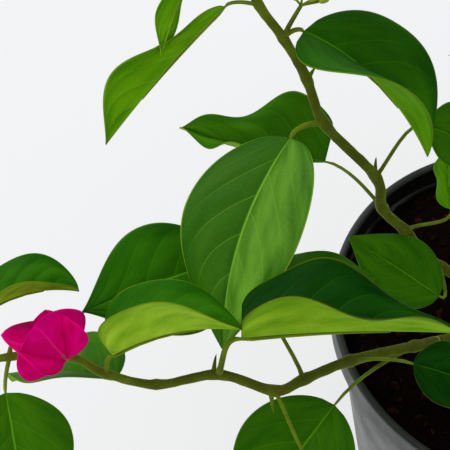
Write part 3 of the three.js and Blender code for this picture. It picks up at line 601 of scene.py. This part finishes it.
def in_own_space(shoot, point):
    """Ruled growth stays in its sector, off the pot, and out of the open air on the left."""
    x, y, z = point
    radius = math.hypot(x, y)
    open_side = x < -20 + 0.1 * y - 0.15 * z and y + 0.44 * z > -8 and y + 0.8 * z < 312 and x > -290
    if (radius <= pot_reach and z <= pot_clear) or z < lowest_leaf or open_side:
        return False
    if not shoot.get("sector") or radius < shared_core:
        return True
    start, end = shoot["sector"]
    return (math.degrees(math.atan2(y, x)) + 720 - start) % 360 <= end - start


def segment_distances(points, start, end):
    """How far each point is from a straight stretch."""
    along = end - start
    share = np.clip((points - start) @ along / (along @ along), 0, 1)
    return np.linalg.norm(points - (start + share[:, None] * along), axis=1)


def side_twigs(shoot, first, every, count, step, seed, room):
    """Twigs that leave to one side and then the other, where they have room."""
    draw = seeded(seed)
    twigs = []
    knots = shoot["knots"]
    for knot in range(first, len(knots) - 1, every):
        side = 1 if len(twigs) % 2 else -1
        run = knots[knot + 1] - knots[knot]
        heading = math.degrees(math.atan2(run[1], run[0])) + side * (56 + 16 * (next(draw) - 0.5))
        pitch = min(60, math.degrees(math.asin(run[2] / np.linalg.norm(run))) + 16 * next(draw))
        line = [knots[knot]]
        for i in range(count):
            reach = step * (0.85 + 0.3 * next(draw))
            turn = heading + side * (8 * (next(draw) - 0.5) - 7 * i)
            line.append(line[-1] + reach * direction(turn, pitch + 5 * i))
        tips = np.array(line[1:])
        others = [other["knots"] for other in shoots if other is not shoot]
        clear = all(
            segment_distances(tips, a, b).min() > room for other in others for a, b in zip(other, other[1:])
        )
        if clear and all(in_own_space(shoot, tip) for tip in tips):
            twigs.append({"knots": line})
    return twigs


for shoot in shoots:
    shoot["twigs"] = side_twigs(
        shoot, shoot["leaves_from"] + 1, every=2, count=3, step=23, seed=shoot["seed"] + 1000, room=11
    )
stem_lines = []
for shoot in shoots:
    stem_lines += [shoot["knots"], *(side["knots"] for side in shoot["twigs"])]


# Blades
# One rule shapes every leaf and bract: an ovate outline with a drawn-out tip, a midrib that is
# an arc over its chord, and two halves that fold up from it and ripple at the margin.
plain_blade = {
    "curl": 15, "cup": (15, 15, 15, 15), "wave": 2, "ripples": 1.5, "phase": 1, "bow": 0,
    "peak": 0.4, "shoulder": 0.75, "point": 0.95,
}


def blade_axes(heading, pitch, roll):
    """A blade's unit vectors: from base to tip, across to its left, and out of its top face."""
    along = direction(heading, pitch)
    level = direction(heading + 90, 0)
    upright = np.cross(along, level)
    c, s = math.cos(math.radians(roll)), math.sin(math.radians(roll))
    return along, level * c + upright * s, upright * c - level * s


def blade_points(blade, t, side):
    """Points of a blade: t from base to tip, and side from the right edge, -1, to the left, 1."""
    t, side = np.asarray(t, float), np.asarray(side, float)
    along, across, out = blade["axes"]
    chord, width = blade["size"]
    half = math.radians(max(blade["curl"], 0.5)) / 2
    radius = chord / (2 * math.sin(half))
    angle = half * (2 * t - 1)
    inside = np.clip(t, 1e-9, 1 - 1e-9)
    swell = np.maximum(np.sin(np.pi * inside ** (math.log(0.5) / math.log(blade["peak"]))), 0)
    breadth = np.where(t < blade["peak"], swell ** blade["shoulder"], swell ** blade["point"])
    breadth = np.where((t <= 0) | (t >= 1), 0, breadth)
    left = side >= 0
    cup = blade["cup"]
    base_fold = np.where(left, cup[0], cup[2])
    tip_fold = np.where(left, cup[1], cup[3])
    reach = 0.5 * width * breadth * np.abs(side)
    fold = np.radians(base_fold + (tip_fold - base_fold) * t - 10 * np.abs(side))
    ripple = 2 * np.pi * blade["ripples"] * t + blade["phase"] + np.where(left, 0, 2.1)
    swing = blade["wave"] * side ** 2 * np.sin(ripple)
    lift = reach * np.sin(fold) + swing * np.sqrt(np.sin(np.pi * np.clip(t, 0, 1)))
    sideways = reach * np.cos(fold) * np.where(left, 1, -1) + blade["bow"] * 4 * t * (1 - t)
    forward = radius * (np.sin(angle) + math.sin(half)) + lift * np.sin(angle)
    height = radius * (np.cos(angle) - math.cos(half)) + lift * np.cos(angle)
    return blade["base"] + np.outer(forward, along) + np.outer(sideways, across) + np.outer(height, out)


def new_blade(**shape):
    blade = {**plain_blade, **shape}
    blade["axes"] = blade_axes(*blade["aim"])
    return blade


def blade_samples(blade):
    """A few points over a blade, its base first."""
    stations = [(t, side) for t in (0.2, 0.45, 0.7, 0.9) for side in (-1, 0, 1)]
    t, side = zip((0, 0), *stations, (1, 0))
    return blade_points(blade, t, side)


taken = []


def take_room(blade):
    taken.append((blade_samples(blade), blade_points(blade, [0.5], [0])[0], blade["size"][0]))


def has_room(blade, shoot, leaf_room, stem_room):
    """Whether a blade's points are clear of all blades and stems so far, and in its own space."""
    samples = blade_samples(blade)
    if not all(in_own_space(shoot, sample) for sample in samples):
        return False
    middle, span = blade_points(blade, [0.5], [0])[0], blade["size"][0]
    for others, other_middle, other_span in taken:
        if np.linalg.norm(middle - other_middle) > (span + other_span) / 2 + leaf_room + 6:
            continue
        if np.linalg.norm(samples[:, None] - others[None], axis=2).min() < leaf_room:
            return False
    near = [line for line in stem_lines if np.linalg.norm(np.array(line) - middle, axis=1).min() < span + 60]
    for line in near:
        for a, b in zip(line, line[1:]):
            if segment_distances(samples[1:], a, b).min() <= stem_room:
                return False
    return True


def ruled_leaves(shoot, knots, first, scale, seed, leaf_room=8.5, stem_room=4.5):
    """Leaves on the knots of one stem, each in the first of a few headings that has room."""
    draw = seeded(seed)
    leaves = []
    for knot in range(first, len(knots)):
        run = knots[knot] - knots[knot - 1]
        ahead = math.degrees(math.atan2(run[1], run[0]))
        side = 1 if knot % 2 else -1
        at_tip = knot == len(knots) - 1
        age = 1 - 0.36 * ((knot - first) / max(len(knots) - first, 1))
        span = shoot["leaf_length"] * scale * age * (0.86 + 0.28 * next(draw))
        spread = side * (20 if at_tip else 62) + 40 * (next(draw) - 0.5)
        slope = -12 - 26 * next(draw)
        roll = 34 * (next(draw) - 0.5)
        curl = 14 + 34 * next(draw)
        fold = 10 + 24 * next(draw)
        phase = 6.28 * next(draw)
        tries = ((0, 0, 1), (38, -12, 0.95), (-38, 12, 0.9), (75 * side, 16, 0.8))
        for turn, drop, shrink in tries:
            heading = ahead + spread + turn
            blade = new_blade(
                size=(span * shrink, 0.64 * span * shrink), aim=(heading, slope + drop, roll), curl=curl,
                cup=(fold,) * 4, phase=phase, wave=1.5,
                base=knots[knot] + (0.16 * span + 3) * direction(heading, 24 + drop),
            )
            if has_room(blade, shoot, leaf_room, stem_room):
                young = 1 - age + (0.2 if at_tip else 0)
                leaves.append({"blade": blade, "start": knots[knot], "young": young})
                take_room(blade)
                break
    return leaves


def bloom_bracts(bloom):
    """Three broad bracts round one axis, each with its top face turned in to it."""
    inward = direction(*bloom["axis"])
    _, across, out = blade_axes(*bloom["axis"], 0)
    bracts = []
    for k, size in enumerate(bloom["bracts"]):
        angle = math.radians(bloom["turn"] + 120 * k)
        run = 0.72 * inward + bloom["spread"] * (across * math.cos(angle) + out * math.sin(angle))
        run /= np.linalg.norm(run)
        heading, pitch = math.degrees(math.atan2(run[1], run[0])), math.degrees(math.asin(run[2]))
        _, flat_across, flat_out = blade_axes(heading, pitch, 0)
        roll = math.degrees(math.atan2(-inward @ flat_across, inward @ flat_out))
        bracts.append(new_blade(
            **bloom["shape"], base=bloom["at"], size=size, aim=(heading, pitch, roll), curl=-18, phase=k,
        ))
    return bracts


for shoot in shoots:
    knots = shoot["knots"]
    shoot["placed_leaves"] = []
    for row in shoot.get("placed", ()):
        reach, heading, pitch = row["stalk"]
        blade = new_blade(**row["shape"], base=knots[row["on"]] + reach * direction(heading, pitch))
        shoot["placed_leaves"].append({**row, "blade": blade, "start": knots[row["on"]]})
        take_room(blade)
    if "bloom" in shoot:
        bloom = shoot["bloom"]
        reach, heading, pitch = bloom["stalk"]
        bloom["at"] = knots[bloom["on"]] + reach * direction(heading, pitch)
        bloom["blades"] = bloom_bracts(bloom)
        for bract in bloom["blades"]:
            take_room(bract)
for shoot in shoots:
    seed = shoot["seed"]
    shoot["leaves"] = ruled_leaves(shoot, shoot["knots"], shoot["leaves_from"], scale=1, seed=seed + 2000)
    for i, side in enumerate(shoot["twigs"]):
        shoot["leaves"] += ruled_leaves(shoot, side["knots"], 1, scale=0.78, seed=seed + 3000 + i)
for shoot in shoots:
    seed = shoot["seed"]
    shoot["sprigs"] = side_twigs(
        shoot, shoot["leaves_from"] + 2, every=2, count=2, step=15, seed=seed + 5000, room=7
    )
    for i, side in enumerate(shoot["sprigs"]):
        shoot["leaves"] += ruled_leaves(
            shoot, side["knots"], 1, scale=0.5, seed=seed + 6000 + i, leaf_room=5, stem_room=3
        )


# Canes
# The skin of a cane is brown-green and finely ridged near the foot, and yellow-green at the tip.
# Stalks of leaves bend out of the nodes, and a curved thorn stands over many of them.
cane_skin = stem_material(
    "cane_skin", (0.050, 0.034, 0.008), (0.088, 0.108, 0.007), (0.19, 0.30, 0.012), (0.20, 0.17, 0.04), 0.55,
    Specular_IOR_Level=0.04, Sheen_Weight=0.35, Sheen_Roughness=0.35, Sheen_Tint=(0.8, 1.0, 0.2, 1),
)
cane_radii, twig_radii, sprig_radii = (2.2, 0.95), (1.1, 0.9), (0.95, 0.6)
# Canes are painted darker and browner on the side that faces this way, and greener on the other: painted
# shade and light.
painted_shade_side = Vector((-0.6, -0.1, 0.8))


def metres(point):
    return Vector([float(value) for value in point]) * MM


def cane_line(knots, radii, step=2.2):
    """The rounded line of a cane, from its first radius to its last, and the radius at each point."""
    line = smooth_path([metres(knot) for knot in knots], step * MM)
    nodes = [metres(knot) for knot in knots[1:-1]]
    run, total = [0.0], 0.0
    for a, b in zip(line, line[1:]):
        total += (b - a).length
        run.append(total)
    widths = []
    for point, reach in zip(line, run):
        plain = radii[0] + (radii[1] - radii[0]) * (reach / total) ** 1.7
        near = min(((point - node).length / MM for node in nodes), default=99)
        widths.append(MM * plain * (1 + 0.24 * math.exp(-((near / 2.6) ** 2))))
    return line, widths


def paint_side_shade(bm, corners, amount):
    """Paints shade and light into a cane: the side that faces up and to the left turns browner and
    darker, and the side away from it turns greener.
    """
    bm.normal_update()
    age = bm.verts.layers.float["age"]
    for corner in corners:
        corner[age] -= amount * corner.normal.dot(painted_shade_side)


def stalk_line(leaf, count=9):
    """A leaf stalk: out of the node, over, and into the midrib under the blade."""
    blade = leaf["blade"]
    along, _, out = blade["axes"]
    half = math.radians(max(blade["curl"], 0.5)) / 2
    tangent = along * math.cos(half) + out * math.sin(half)
    start, end = leaf["start"], blade["base"]
    reach = np.linalg.norm(end - start)
    leave = (end - start) / reach
    p1 = start + reach * (0.3 * leave + leaf.get("rise", 0.12) * np.array((0, 0, 1.0)))
    p2 = end - tangent * reach * 0.32
    line = []
    for k in range(count):
        t = k / (count - 1)
        u = 1 - t
        line.append(start * u ** 3 + 3 * p1 * t * u ** 2 + 3 * p2 * t * t * u + end * t ** 3)
    return line


def add_stalk(bm, leaf, sides, thick):
    """Sweeps a stalk and carries it on as the raised midrib under its blade."""
    blade = leaf["blade"]
    out = blade["axes"][2]
    line = stalk_line(leaf)
    ribs = [0.05, 0.12, 0.22, 0.36, 0.52, 0.68]
    rib_radii = np.array([0.62 * thick * (1 - t) ** 0.9 for t in ribs])
    under = blade_points(blade, ribs, [0] * len(ribs)) - np.outer(rib_radii + 0.25, out)
    radii = [thick * (1.35 if k == 0 else 1.0 - 0.035 * k) for k in range(len(line))]
    radii[-1] = 0.5 * thick
    line[-1] = line[-1] - 0.4 * thick * out
    radii += list(rib_radii)
    points = [metres(point) for point in [*line, *under]]
    sweep(bm, points, [MM * radius for radius in radii], sides, (0.62, 1.0))


def add_thorn(bm, foot, out, bend, length):
    """A slender thorn that leaves a cane with a broad foot and bends a little towards its tip."""
    stations = ((0.05, 1.45), (0.2, 1.0), (0.4, 0.76), (0.6, 0.58), (0.8, 0.38), (1.0, 0.1))
    line = [metres(foot + length * (out * t + bend * t * t)) for t, _ in stations]
    sweep(bm, line, [MM * radius for _, radius in stations], sides=10, ages=(0.72, 0.6), pointed=True)


for shoot in shoots:
    name, knots = shoot["name"], shoot["knots"]
    node, share = shoot["enter"]
    line, radii = cane_line(knots, cane_radii)
    meeting = metres(knots[node - 1] + (knots[node] - knots[node - 1]) * share)
    split = min(range(2, len(line) - 2), key=lambda i: (line[i] - meeting).length)
    bough_bm = bmesh.new()
    corners = sweep(bough_bm, line[:split + 1], radii[:split + 1], sides=18, ages=(0.15, 0.45))
    # Painted shade on one side of the bough, painted light on the other.
    paint_side_shade(bough_bm, corners, 0.25)
    roughen(corners, amount=0.00035, scale=420)
    new_piece(f"bough_bark_{name}", bough_bm, [cane_skin], "green_stem", f"bough_{name}")

    cane_bm = bmesh.new()
    corners = sweep(cane_bm, line[split:], radii[split:], sides=20, ages=(0.45, 0.8))
    for side in shoot["twigs"]:
        corners += sweep(cane_bm, *cane_line(side["knots"], twig_radii, 3), sides=10, ages=(0.6, 1.0))
    for side in shoot["sprigs"]:
        sweep(cane_bm, *cane_line(side["knots"], sprig_radii, 3), sides=8, ages=(0.7, 1.0))
    # Painted shade on one side of the cane and its twigs, painted light on the other.
    paint_side_shade(cane_bm, corners, 0.22)
    roughen(corners, amount=0.0002, scale=520)
    for leaf in shoot["placed_leaves"]:
        add_stalk(cane_bm, leaf, sides=14, thick=leaf["thick"])
    for leaf in shoot["leaves"]:
        add_stalk(cane_bm, leaf, sides=6, thick=0.35 + 0.006 * leaf["blade"]["size"][0])
    for knot, shift, heading, pitch, length in shoot.get("thorns", ()):
        run = (knots[knot + 1] - knots[knot]) / np.linalg.norm(knots[knot + 1] - knots[knot])
        add_thorn(cane_bm, knots[knot] + run * shift, direction(heading, pitch), -0.1 * run, length)
    thorn_draw = seeded(shoot["seed"] + 8000)
    for knot in () if "thorns" in shoot else range(node + 1, len(knots) - 1):
        heading, tall = 360 * next(thorn_draw), 5 + 4 * next(thorn_draw)
        run = (knots[knot] - knots[knot - 1]) / np.linalg.norm(knots[knot] - knots[knot - 1])
        out = direction(heading, 25) - run * (direction(heading, 25) @ run)
        if next(thorn_draw) < 0.6:
            add_thorn(cane_bm, knots[knot], out / np.linalg.norm(out), 0.16 * run, tall)
    new_piece(f"canes_{name}", cane_bm, [cane_skin], "green_stem", f"foliage_{name}")


# Leaves in view
# The leaves of the two left shoots, one piece each: leathery blades with sunk veins above and
# raised ones below, dark and softly shining on top and yellow-green under.
lateral_veins, right_shift, vein_lean, vein_arch = 5.5, 0.42, 0.22, 0.20
uv_start, uv_run, uv_half = 0.02, 0.96, 0.46


def vein_height(t, side):
    """How the tissue swells between midrib and side veins, from 0 on a vein to 1."""
    reach = np.abs(side)
    course = (t - vein_lean * reach - vein_arch * reach ** 2) * lateral_veins
    course = course + np.where(side >= 0, 0, right_shift)
    swell = np.sqrt(np.abs(np.sin(np.pi * course)))
    fade = np.clip(reach * 9, 0, 1) * (1 - reach ** 4) * np.sin(np.pi * np.clip(t, 0, 1)) ** 0.5
    return swell * fade


def vein_group():
    """Masks of the veins, the fine net, the margin, painted sheen patches between the side veins and
    the right half, which is painted in shade on one leaf, from a blade's UV map, which lays each
    face of a blade out in its own strip."""
    group, given, put = new_group(
        "veins", {"UV": "NodeSocketVector", "Strips": "NodeSocketFloat"},
        ("Veins", "Net", "Margin", "Mottle", "Right"),
    )
    soft = {"interpolation_type": "SMOOTHSTEP"}

    def work(operation, *values):
        return maths(group, operation, *values)

    place = add_node(group, "ShaderNodeSeparateXYZ", {0: given.outputs[0]})
    t = work("DIVIDE", work("SUBTRACT", place.outputs[0], uv_start), uv_run)
    strip = work("FRACT", work("MULTIPLY", place.outputs[1], given.outputs[1]))
    side = work("DIVIDE", work("SUBTRACT", strip, 0.5), uv_half)
    reach = work("ABSOLUTE", side)
    left = work("GREATER_THAN", side, 0)
    arch = work("MULTIPLY", work("MULTIPLY", reach, reach), vein_arch)
    bend = work("ADD", work("MULTIPLY", reach, vein_lean), arch)
    shift = work("MULTIPLY", work("SUBTRACT", 1.0, left), right_shift)
    course = work("ADD", work("MULTIPLY", work("SUBTRACT", t, bend), lateral_veins), shift)
    between = work("ABSOLUTE", work("SINE", work("MULTIPLY", course, math.pi)))
    lateral = work("MULTIPLY", ramped(group, between, 0.10, 0.0, **soft), ramped(group, reach, 0.94, 0.6))
    rib_width = work("SUBTRACT", 0.024, work("MULTIPLY", t, 0.010))
    rib = ramped(group, work("DIVIDE", reach, rib_width), 1.5, 0.5, **soft)
    across = {0: work("MULTIPLY", t, 30), 1: work("MULTIPLY", side, 10)}
    cells = {"Vector": add_node(group, "ShaderNodeCombineXYZ", across).outputs[0], "Scale": 1.0}
    net = add_node(group, "ShaderNodeTexVoronoi", cells, feature="DISTANCE_TO_EDGE")
    # Painted sheen: soft patches drawn out along the panels between the side veins, each half its own, fading
    # towards the margin.
    drift = work("ADD", work("MULTIPLY", place.outputs[1], 9.0), work("MULTIPLY", left, 5.0))
    along = {0: work("MULTIPLY", course, 0.85), 1: work("MULTIPLY", reach, 1.1), 2: drift}
    patches = clouds(group, add_node(group, "ShaderNodeCombineXYZ", along).outputs[0], 1.0, 3, Roughness=0.45)
    # The last mask is the right half, which takes painted shade on the lit leaf.
    results = (
        work("MAXIMUM", work("MULTIPLY", lateral, 0.4), rib),
        ramped(group, net.outputs[0], 0.07, 0.0),
        ramped(group, reach, 0.972, 1.0, **soft),
        work("SUBTRACT", patches, ramped(group, reach, 0.5, 1.0, 0.0, 0.2, **soft)),
        ramped(group, side, 0.05, -0.05, **soft),
    )
    for result, socket in zip(results, put.inputs):
        group.links.new(result, socket)
    return group


vein_pattern = vein_group()


def blade_skin(name, deep, light, vein, margin, roughness, strips, relief, shine, right=0.0, clear=1.0):
    """One face of a leaf or bract: painted sheen patches between deep and light, with veins and a margin.
    The share right says how far the blade's right half keeps to its deep colour, as painted shade, and
    clear how plainly the veins show. Relief is 1 for raised veins and -1 for sunk ones."""
    material, tree = new_material(name, light, roughness, Specular_IOR_Level=shine)
    uv = add_node(tree, "ShaderNodeUVMap", uv_map="OFBake").outputs[0]
    veins = add_node(tree, "ShaderNodeGroup", {0: uv, 1: strips}, node_tree=vein_pattern).outputs
    pores = clouds(tree, object_place(tree), 1500, 3)
    speck = maths(tree, "MULTIPLY_ADD", pores, 0.16, -0.06)
    # The tone follows the painted sheen patches and a fine grain.
    tone = ramped(tree, maths(tree, "ADD", veins["Mottle"], speck), 0.24, 0.72)
    # Painted shade: the right half of the lit leaf is held to its deep colour.
    if right:
        tone = maths(tree, "MULTIPLY", tone, maths(tree, "MULTIPLY_ADD", veins["Right"], -right, 1.0))
    base = mixed(tree, tone, deep, light)
    netted = mixed(tree, maths(tree, "MULTIPLY", veins["Net"], 0.05 * clear), base, vein)
    veined = mixed(tree, maths(tree, "MULTIPLY", veins["Veins"], clear), netted, vein)
    net_height = maths(tree, "MULTIPLY_ADD", veins["Net"], 0.25 * relief, veins["Veins"])
    height = maths(tree, "MULTIPLY_ADD", pores, 0.35, net_height)
    feed(
        tree, Base_Color=mixed(tree, veins["Margin"], veined, margin),
        Normal=pressed(tree, height, 0.35, 0.0003, invert=relief < 0),
    )
    return material


def add_sheet(bm, blade, along, over, strip, strips, drop, slot, quilt):
    """One face of a blade as a grid, dropped below the top face and mapped to its own UV strip."""
    uv = bm.loops.layers.uv.get("OFBake") or bm.loops.layers.uv.new("OFBake")
    grid = bmesh.ops.create_grid(bm, x_segments=along, y_segments=over, size=1)["verts"]
    faces = list({face for corner in grid for face in corner.link_faces})
    for corner in grid:
        corner.co.y = math.copysign(min(1, abs(corner.co.y)) ** 1.25, corner.co.y)
    t = np.clip([(corner.co.x + 1) / 2 for corner in grid], 0, 1)
    side = np.array([corner.co.y for corner in grid])
    for face in faces:
        face.material_index = slot
        for loop in face.loops:
            u, v = (loop.vert.co.x + 1) / 2, loop.vert.co.y
            loop[uv].uv = (uv_start + uv_run * u, (strip + 0.5 + uv_half * v) / strips)
    places = blade_points(blade, t, side)
    step, inner, near = 0.004, np.clip(t, 0.02, 0.98), side * 0.97
    ahead = blade_points(blade, inner + step, near) - blade_points(blade, inner - step, near)
    beside = blade_points(blade, inner, near + step) - blade_points(blade, inner, near - step)
    normals = np.cross(ahead, beside)
    normals /= np.linalg.norm(normals, axis=1)[:, None]
    places += normals * (quilt * vein_height(t, side) - drop)[:, None]
    for corner, spot in zip(grid, places):
        corner.co = metres(spot)
    if drop:
        bmesh.ops.reverse_faces(bm, faces=faces)
    edges = {edge for face in faces for edge in face.edges if edge.is_boundary}
    return grid, list(edges)


def add_blade(bm, blade, along, over, strip, strips, thick, quilt):
    """Both faces of a blade, the top in slot 0 and the other in slot 1, and the thin edge."""
    top, top_edges = add_sheet(bm, blade, along, over, strip, strips, 0, 0, quilt)
    low, low_edges = add_sheet(bm, blade, along, over, strip + 1, strips, thick, 1, quilt)
    rim = bmesh.ops.bridge_loops(bm, edges=top_edges + low_edges)["faces"]
    uv = bm.loops.layers.uv["OFBake"]
    for face in rim:
        face.material_index = 0
        for loop in face.loops:
            loop[uv].uv = (0.5, (strip + 0.97) / strips)
    bmesh.ops.remove_doubles(bm, verts=top + low, dist=1e-6)


# Leaf-top greens, each a deep and a light colour. They are partly the leaves' own greens, fresh on young
# leaves, and partly painted light: the dark green is painted shade for leaves that lie in the shade of
# others, and the lit green painted light and sheen for the one leaf that catches the light.
greens = {
    "dark": ((0.001, 0.028, 0.0005), (0.006, 0.062, 0.001)),
    "deep": ((0.010, 0.085, 0.0005), (0.030, 0.150, 0.001)),
    "mid": ((0.022, 0.120, 0.001), (0.055, 0.190, 0.002)),
    "lit": ((0.022, 0.125, 0.001), (0.150, 0.370, 0.024)),
    "fresh": ((0.080, 0.290, 0.001), (0.140, 0.400, 0.003)),
}
# Underside greens: paler than the tops, as undersides are, and lifted further to paint the light that shines
# through the leaves, the bright one most.
unders = {
    "pale": ((0.110, 0.300, 0.002), (0.340, 0.600, 0.022)),
    "green": ((0.070, 0.270, 0.001), (0.180, 0.460, 0.003)),
    "bright": ((0.170, 0.400, 0.004), (0.470, 0.740, 0.040)),
}
leaf_tops, leaf_unders = {}, {}
for key, (deep, light) in greens.items():
    # The lit copy has a lighter green, more shine, and painted shade on its right half.
    vein_gain, shine, right = (1.1, 0.09, 0.8) if key == "lit" else (1.5, 0.03, 0)
    vein = [vein_gain * value + pale for value, pale in zip(light, (0.02, 0.04, 0.004))]
    margin = [1.3 * value + red for value, red in zip(light, (0.09, 0.04, 0.004))]
    leaf_tops[key] = blade_skin(
        f"leaf_top_{key}", deep, light, vein, margin,
        roughness=0.5, strips=2, relief=-1, shine=shine, right=right,
    )
for key, (deep, light) in unders.items():
    leaf_unders[key] = blade_skin(
        f"leaf_under_{key}", deep, light, (0.34, 0.56, 0.05), (0.26, 0.42, 0.03),
        roughness=0.6, strips=2, relief=1, shine=0.03,
    )
for shoot in shoots[:2]:
    tags = []
    for leaf in shoot["placed_leaves"]:
        leaf_bm = bmesh.new()
        add_blade(leaf_bm, leaf["blade"], along=64, over=40, strip=0, strips=2, thick=0.35, quilt=0.7)
        top, under = leaf["finish"].split()
        tags.append(leaf["on"])
        name = f"leaf_{shoot['name']}_{leaf['on']:02d}{' abc'[tags.count(leaf['on'])]}"
        new_piece(name, leaf_bm, [leaf_tops[top], leaf_unders[under]], "foliage", f"foliage_{shoot['name']}")


# Foliage
# All other leaves, joined into one piece a shoot. Each has one of a few plain greens, lighter
# towards the growing tips, with a thin rib, a yellow-green underside and a thin edge.
def plain_green(name, colour, roughness):
    return new_material(name, colour, roughness, Specular_IOR_Level=0.04)[0]


spray_greens = [
    (0.012, 0.085, 0.001), (0.020, 0.110, 0.001), (0.032, 0.145, 0.002), (0.055, 0.200, 0.003),
    (0.11, 0.33, 0.005),
]
under_green = plain_green("spray_under", (0.17, 0.38, 0.006), 0.6)
edge_green = plain_green("spray_edge", (0.13, 0.27, 0.006), 0.55)
rib_green = plain_green("spray_rib", (0.07, 0.22, 0.004), 0.5)
rib_under = plain_green("spray_rib_under", (0.26, 0.46, 0.02), 0.6)
spray_slots = []
for k, colour in enumerate(spray_greens):
    spray_slots += [plain_green(f"spray_top_{k}", colour, 0.4), under_green, edge_green]
rib_slot = len(spray_slots)
spray_slots += [rib_green, rib_under, edge_green]
leaf_along, leaf_over, leaf_thick = 30, 15, 0.00035


def add_spray_leaf(bm, blade, slot):
    """A single-faced leaf with a narrow rib strip. The piece's Solidify gives it its underside."""
    grid = bmesh.ops.create_grid(bm, x_segments=leaf_along, y_segments=leaf_over, size=1)["verts"]
    for face in {face for corner in grid for face in corner.link_faces}:
        middle = abs(face.calc_center_median().y) < 0.5 / leaf_over
        face.material_index = rib_slot if middle else slot
    t = np.clip([(corner.co.x + 1) / 2 for corner in grid], 0, 1)
    side = np.array([corner.co.y for corner in grid])
    side = np.sign(side) * np.abs(side) ** 1.5
    places = blade_points(blade, t, side) + np.outer(0.5 * vein_height(t, side), blade["axes"][2])
    for corner, spot in zip(grid, places):
        corner.co = metres(spot)


for shoot in shoots:
    name = shoot["name"]
    if not shoot["leaves"]:
        continue
    spray_bm = bmesh.new()
    shade = seeded(shoot["seed"] + 9000)
    for leaf in shoot["leaves"]:
        tint = min(len(spray_greens) - 1, int(5 * leaf["young"] + 2.2 * next(shade)))
        add_spray_leaf(spray_bm, leaf["blade"], 3 * tint)
    bmesh.ops.remove_doubles(spray_bm, verts=spray_bm.verts, dist=1e-6)
    foliage = new_piece(f"leaves_{name}", spray_bm, spray_slots, "foliage", f"foliage_{name}")
    skin = foliage.modifiers.new("thickness", "SOLIDIFY")
    skin.thickness = leaf_thick
    skin.offset = -1
    skin.material_offset = 1
    skin.material_offset_rim = 2


# Buds
# A young twig beside the stalk of the upper leaf, with a tuft of small yellow-green flower buds.
bud_skin = speckled("bud", (0.28, 0.34, 0.02), (0.55, 0.58, 0.10), scale=700, roughness=0.6)
bud_bm = bmesh.new()
bud_foot, twig_steps = left_high["knots"][7], ((0, 0, 0), (2.2, 1, 6), (5.6, 2, 14))
bud_twig = smooth_path([metres(bud_foot + np.array(step)) for step in twig_steps], 0.001)
twig_widths = [MM * (1.0 - 0.35 * k / len(bud_twig)) for k in range(len(bud_twig))]
sweep(bud_bm, bud_twig, twig_widths, sides=12, ages=(0.5, 0.7))
bud_rows = (
    (-2.4, 1.5, 2.4, 1.0), (0.4, 2.2, 3.2, 1.1), (3.6, 0.8, 2.0, 1.0), (6.6, 0.5, 1.4, 0.9),
    (9.4, 1.4, 2.2, 0.7),
)
for x, y, z, radius in bud_rows:
    out, size = Vector((x, y, z)) * MM, radius * MM
    sweep(bud_bm, [bud_twig[-1] + out * t for t in (0, 0.5, 1)], [0.0004] * 3, sides=8, ages=(0.8, 1.0))
    lay = Matrix.Translation(bud_twig[-1] + out * 1.15) @ out.to_track_quat("Z", "Y").to_matrix().to_4x4()
    lay = lay @ Matrix.Diagonal((size, size, 2.1 * size, 1))
    bud = bmesh.ops.create_icosphere(bud_bm, subdivisions=3, radius=1, matrix=lay)["verts"]
    for face in {face for corner in bud for face in corner.link_faces}:
        face.material_index = 1
new_piece("buds_left_high", bud_bm, [cane_skin, bud_skin], "foliage", "foliage_left_high")


# Blossom
# Three papery magenta bracts cup three slender tube flowers on each flowering shoot. The bracts
# are thin and faintly veined; the tubes are rosy with cream mouths.
papery = {"roughness": 0.65, "strips": 6, "relief": 1, "shine": 0.02, "clear": 0.4}
bract_top = blade_skin(
    "bract_inner", (0.56, 0.0, 0.11), (0.85, 0.0, 0.24), (0.62, 0.0, 0.13), (0.85, 0.0, 0.26), **papery
)
bract_back = blade_skin(
    "bract_outer", (0.72, 0.0, 0.17), (0.95, 0.0, 0.29), (0.95, 0.05, 0.28), (0.95, 0.01, 0.32), **papery
)
tube_skin = speckled("flower_tube", (0.42, 0.05, 0.10), (0.60, 0.16, 0.18), scale=500, roughness=0.6)
mouth_skin = speckled("flower_mouth", (0.66, 0.58, 0.26), (0.80, 0.74, 0.46), scale=500, roughness=0.6)
tube_radii, tube_sides = (0.6, 0.9, 1.0, 0.8, 0.75, 0.95, 1.9), 10
for shoot in shoots:
    if "bloom" not in shoot:
        continue
    bloom, name = shoot["bloom"], shoot["name"]
    bract_bm = bmesh.new()
    for k, bract in enumerate(bloom["blades"]):
        add_blade(bract_bm, bract, along=30, over=24, strip=2 * k, strips=6, thick=0.16, quilt=0.3)
    new_piece(f"bracts_{name}", bract_bm, [bract_top, bract_back], "foliage", f"foliage_{name}")
    flower_bm = bmesh.new()
    axis, start, end = direction(*bloom["axis"]), shoot["knots"][bloom["on"]], bloom["at"]
    points = (start, start + (end - start) * 0.5, end, end + axis * 2)
    stalk = smooth_path([metres(point) for point in points], 0.0015)
    sweep(flower_bm, stalk, [0.00075] * len(stalk), sides=10, ages=(0.9, 0.9))
    for bract in bloom["blades"]:
        lean, tall = 0.4 * bract["axes"][0] + 0.62 * axis, 0.5 * bract["size"][0]
        tube = [metres(end + lean * tall * k / 6) for k in range(7)]
        corners = sweep(flower_bm, tube, [MM * radius for radius in tube_radii], tube_sides, (1, 1))
        for face in {face for corner in corners[-tube_sides:] for face in corner.link_faces}:
            face.material_index = 1
    new_piece(f"flowers_{name}", flower_bm, [tube_skin, mouth_skin], "foliage", f"foliage_{name}")
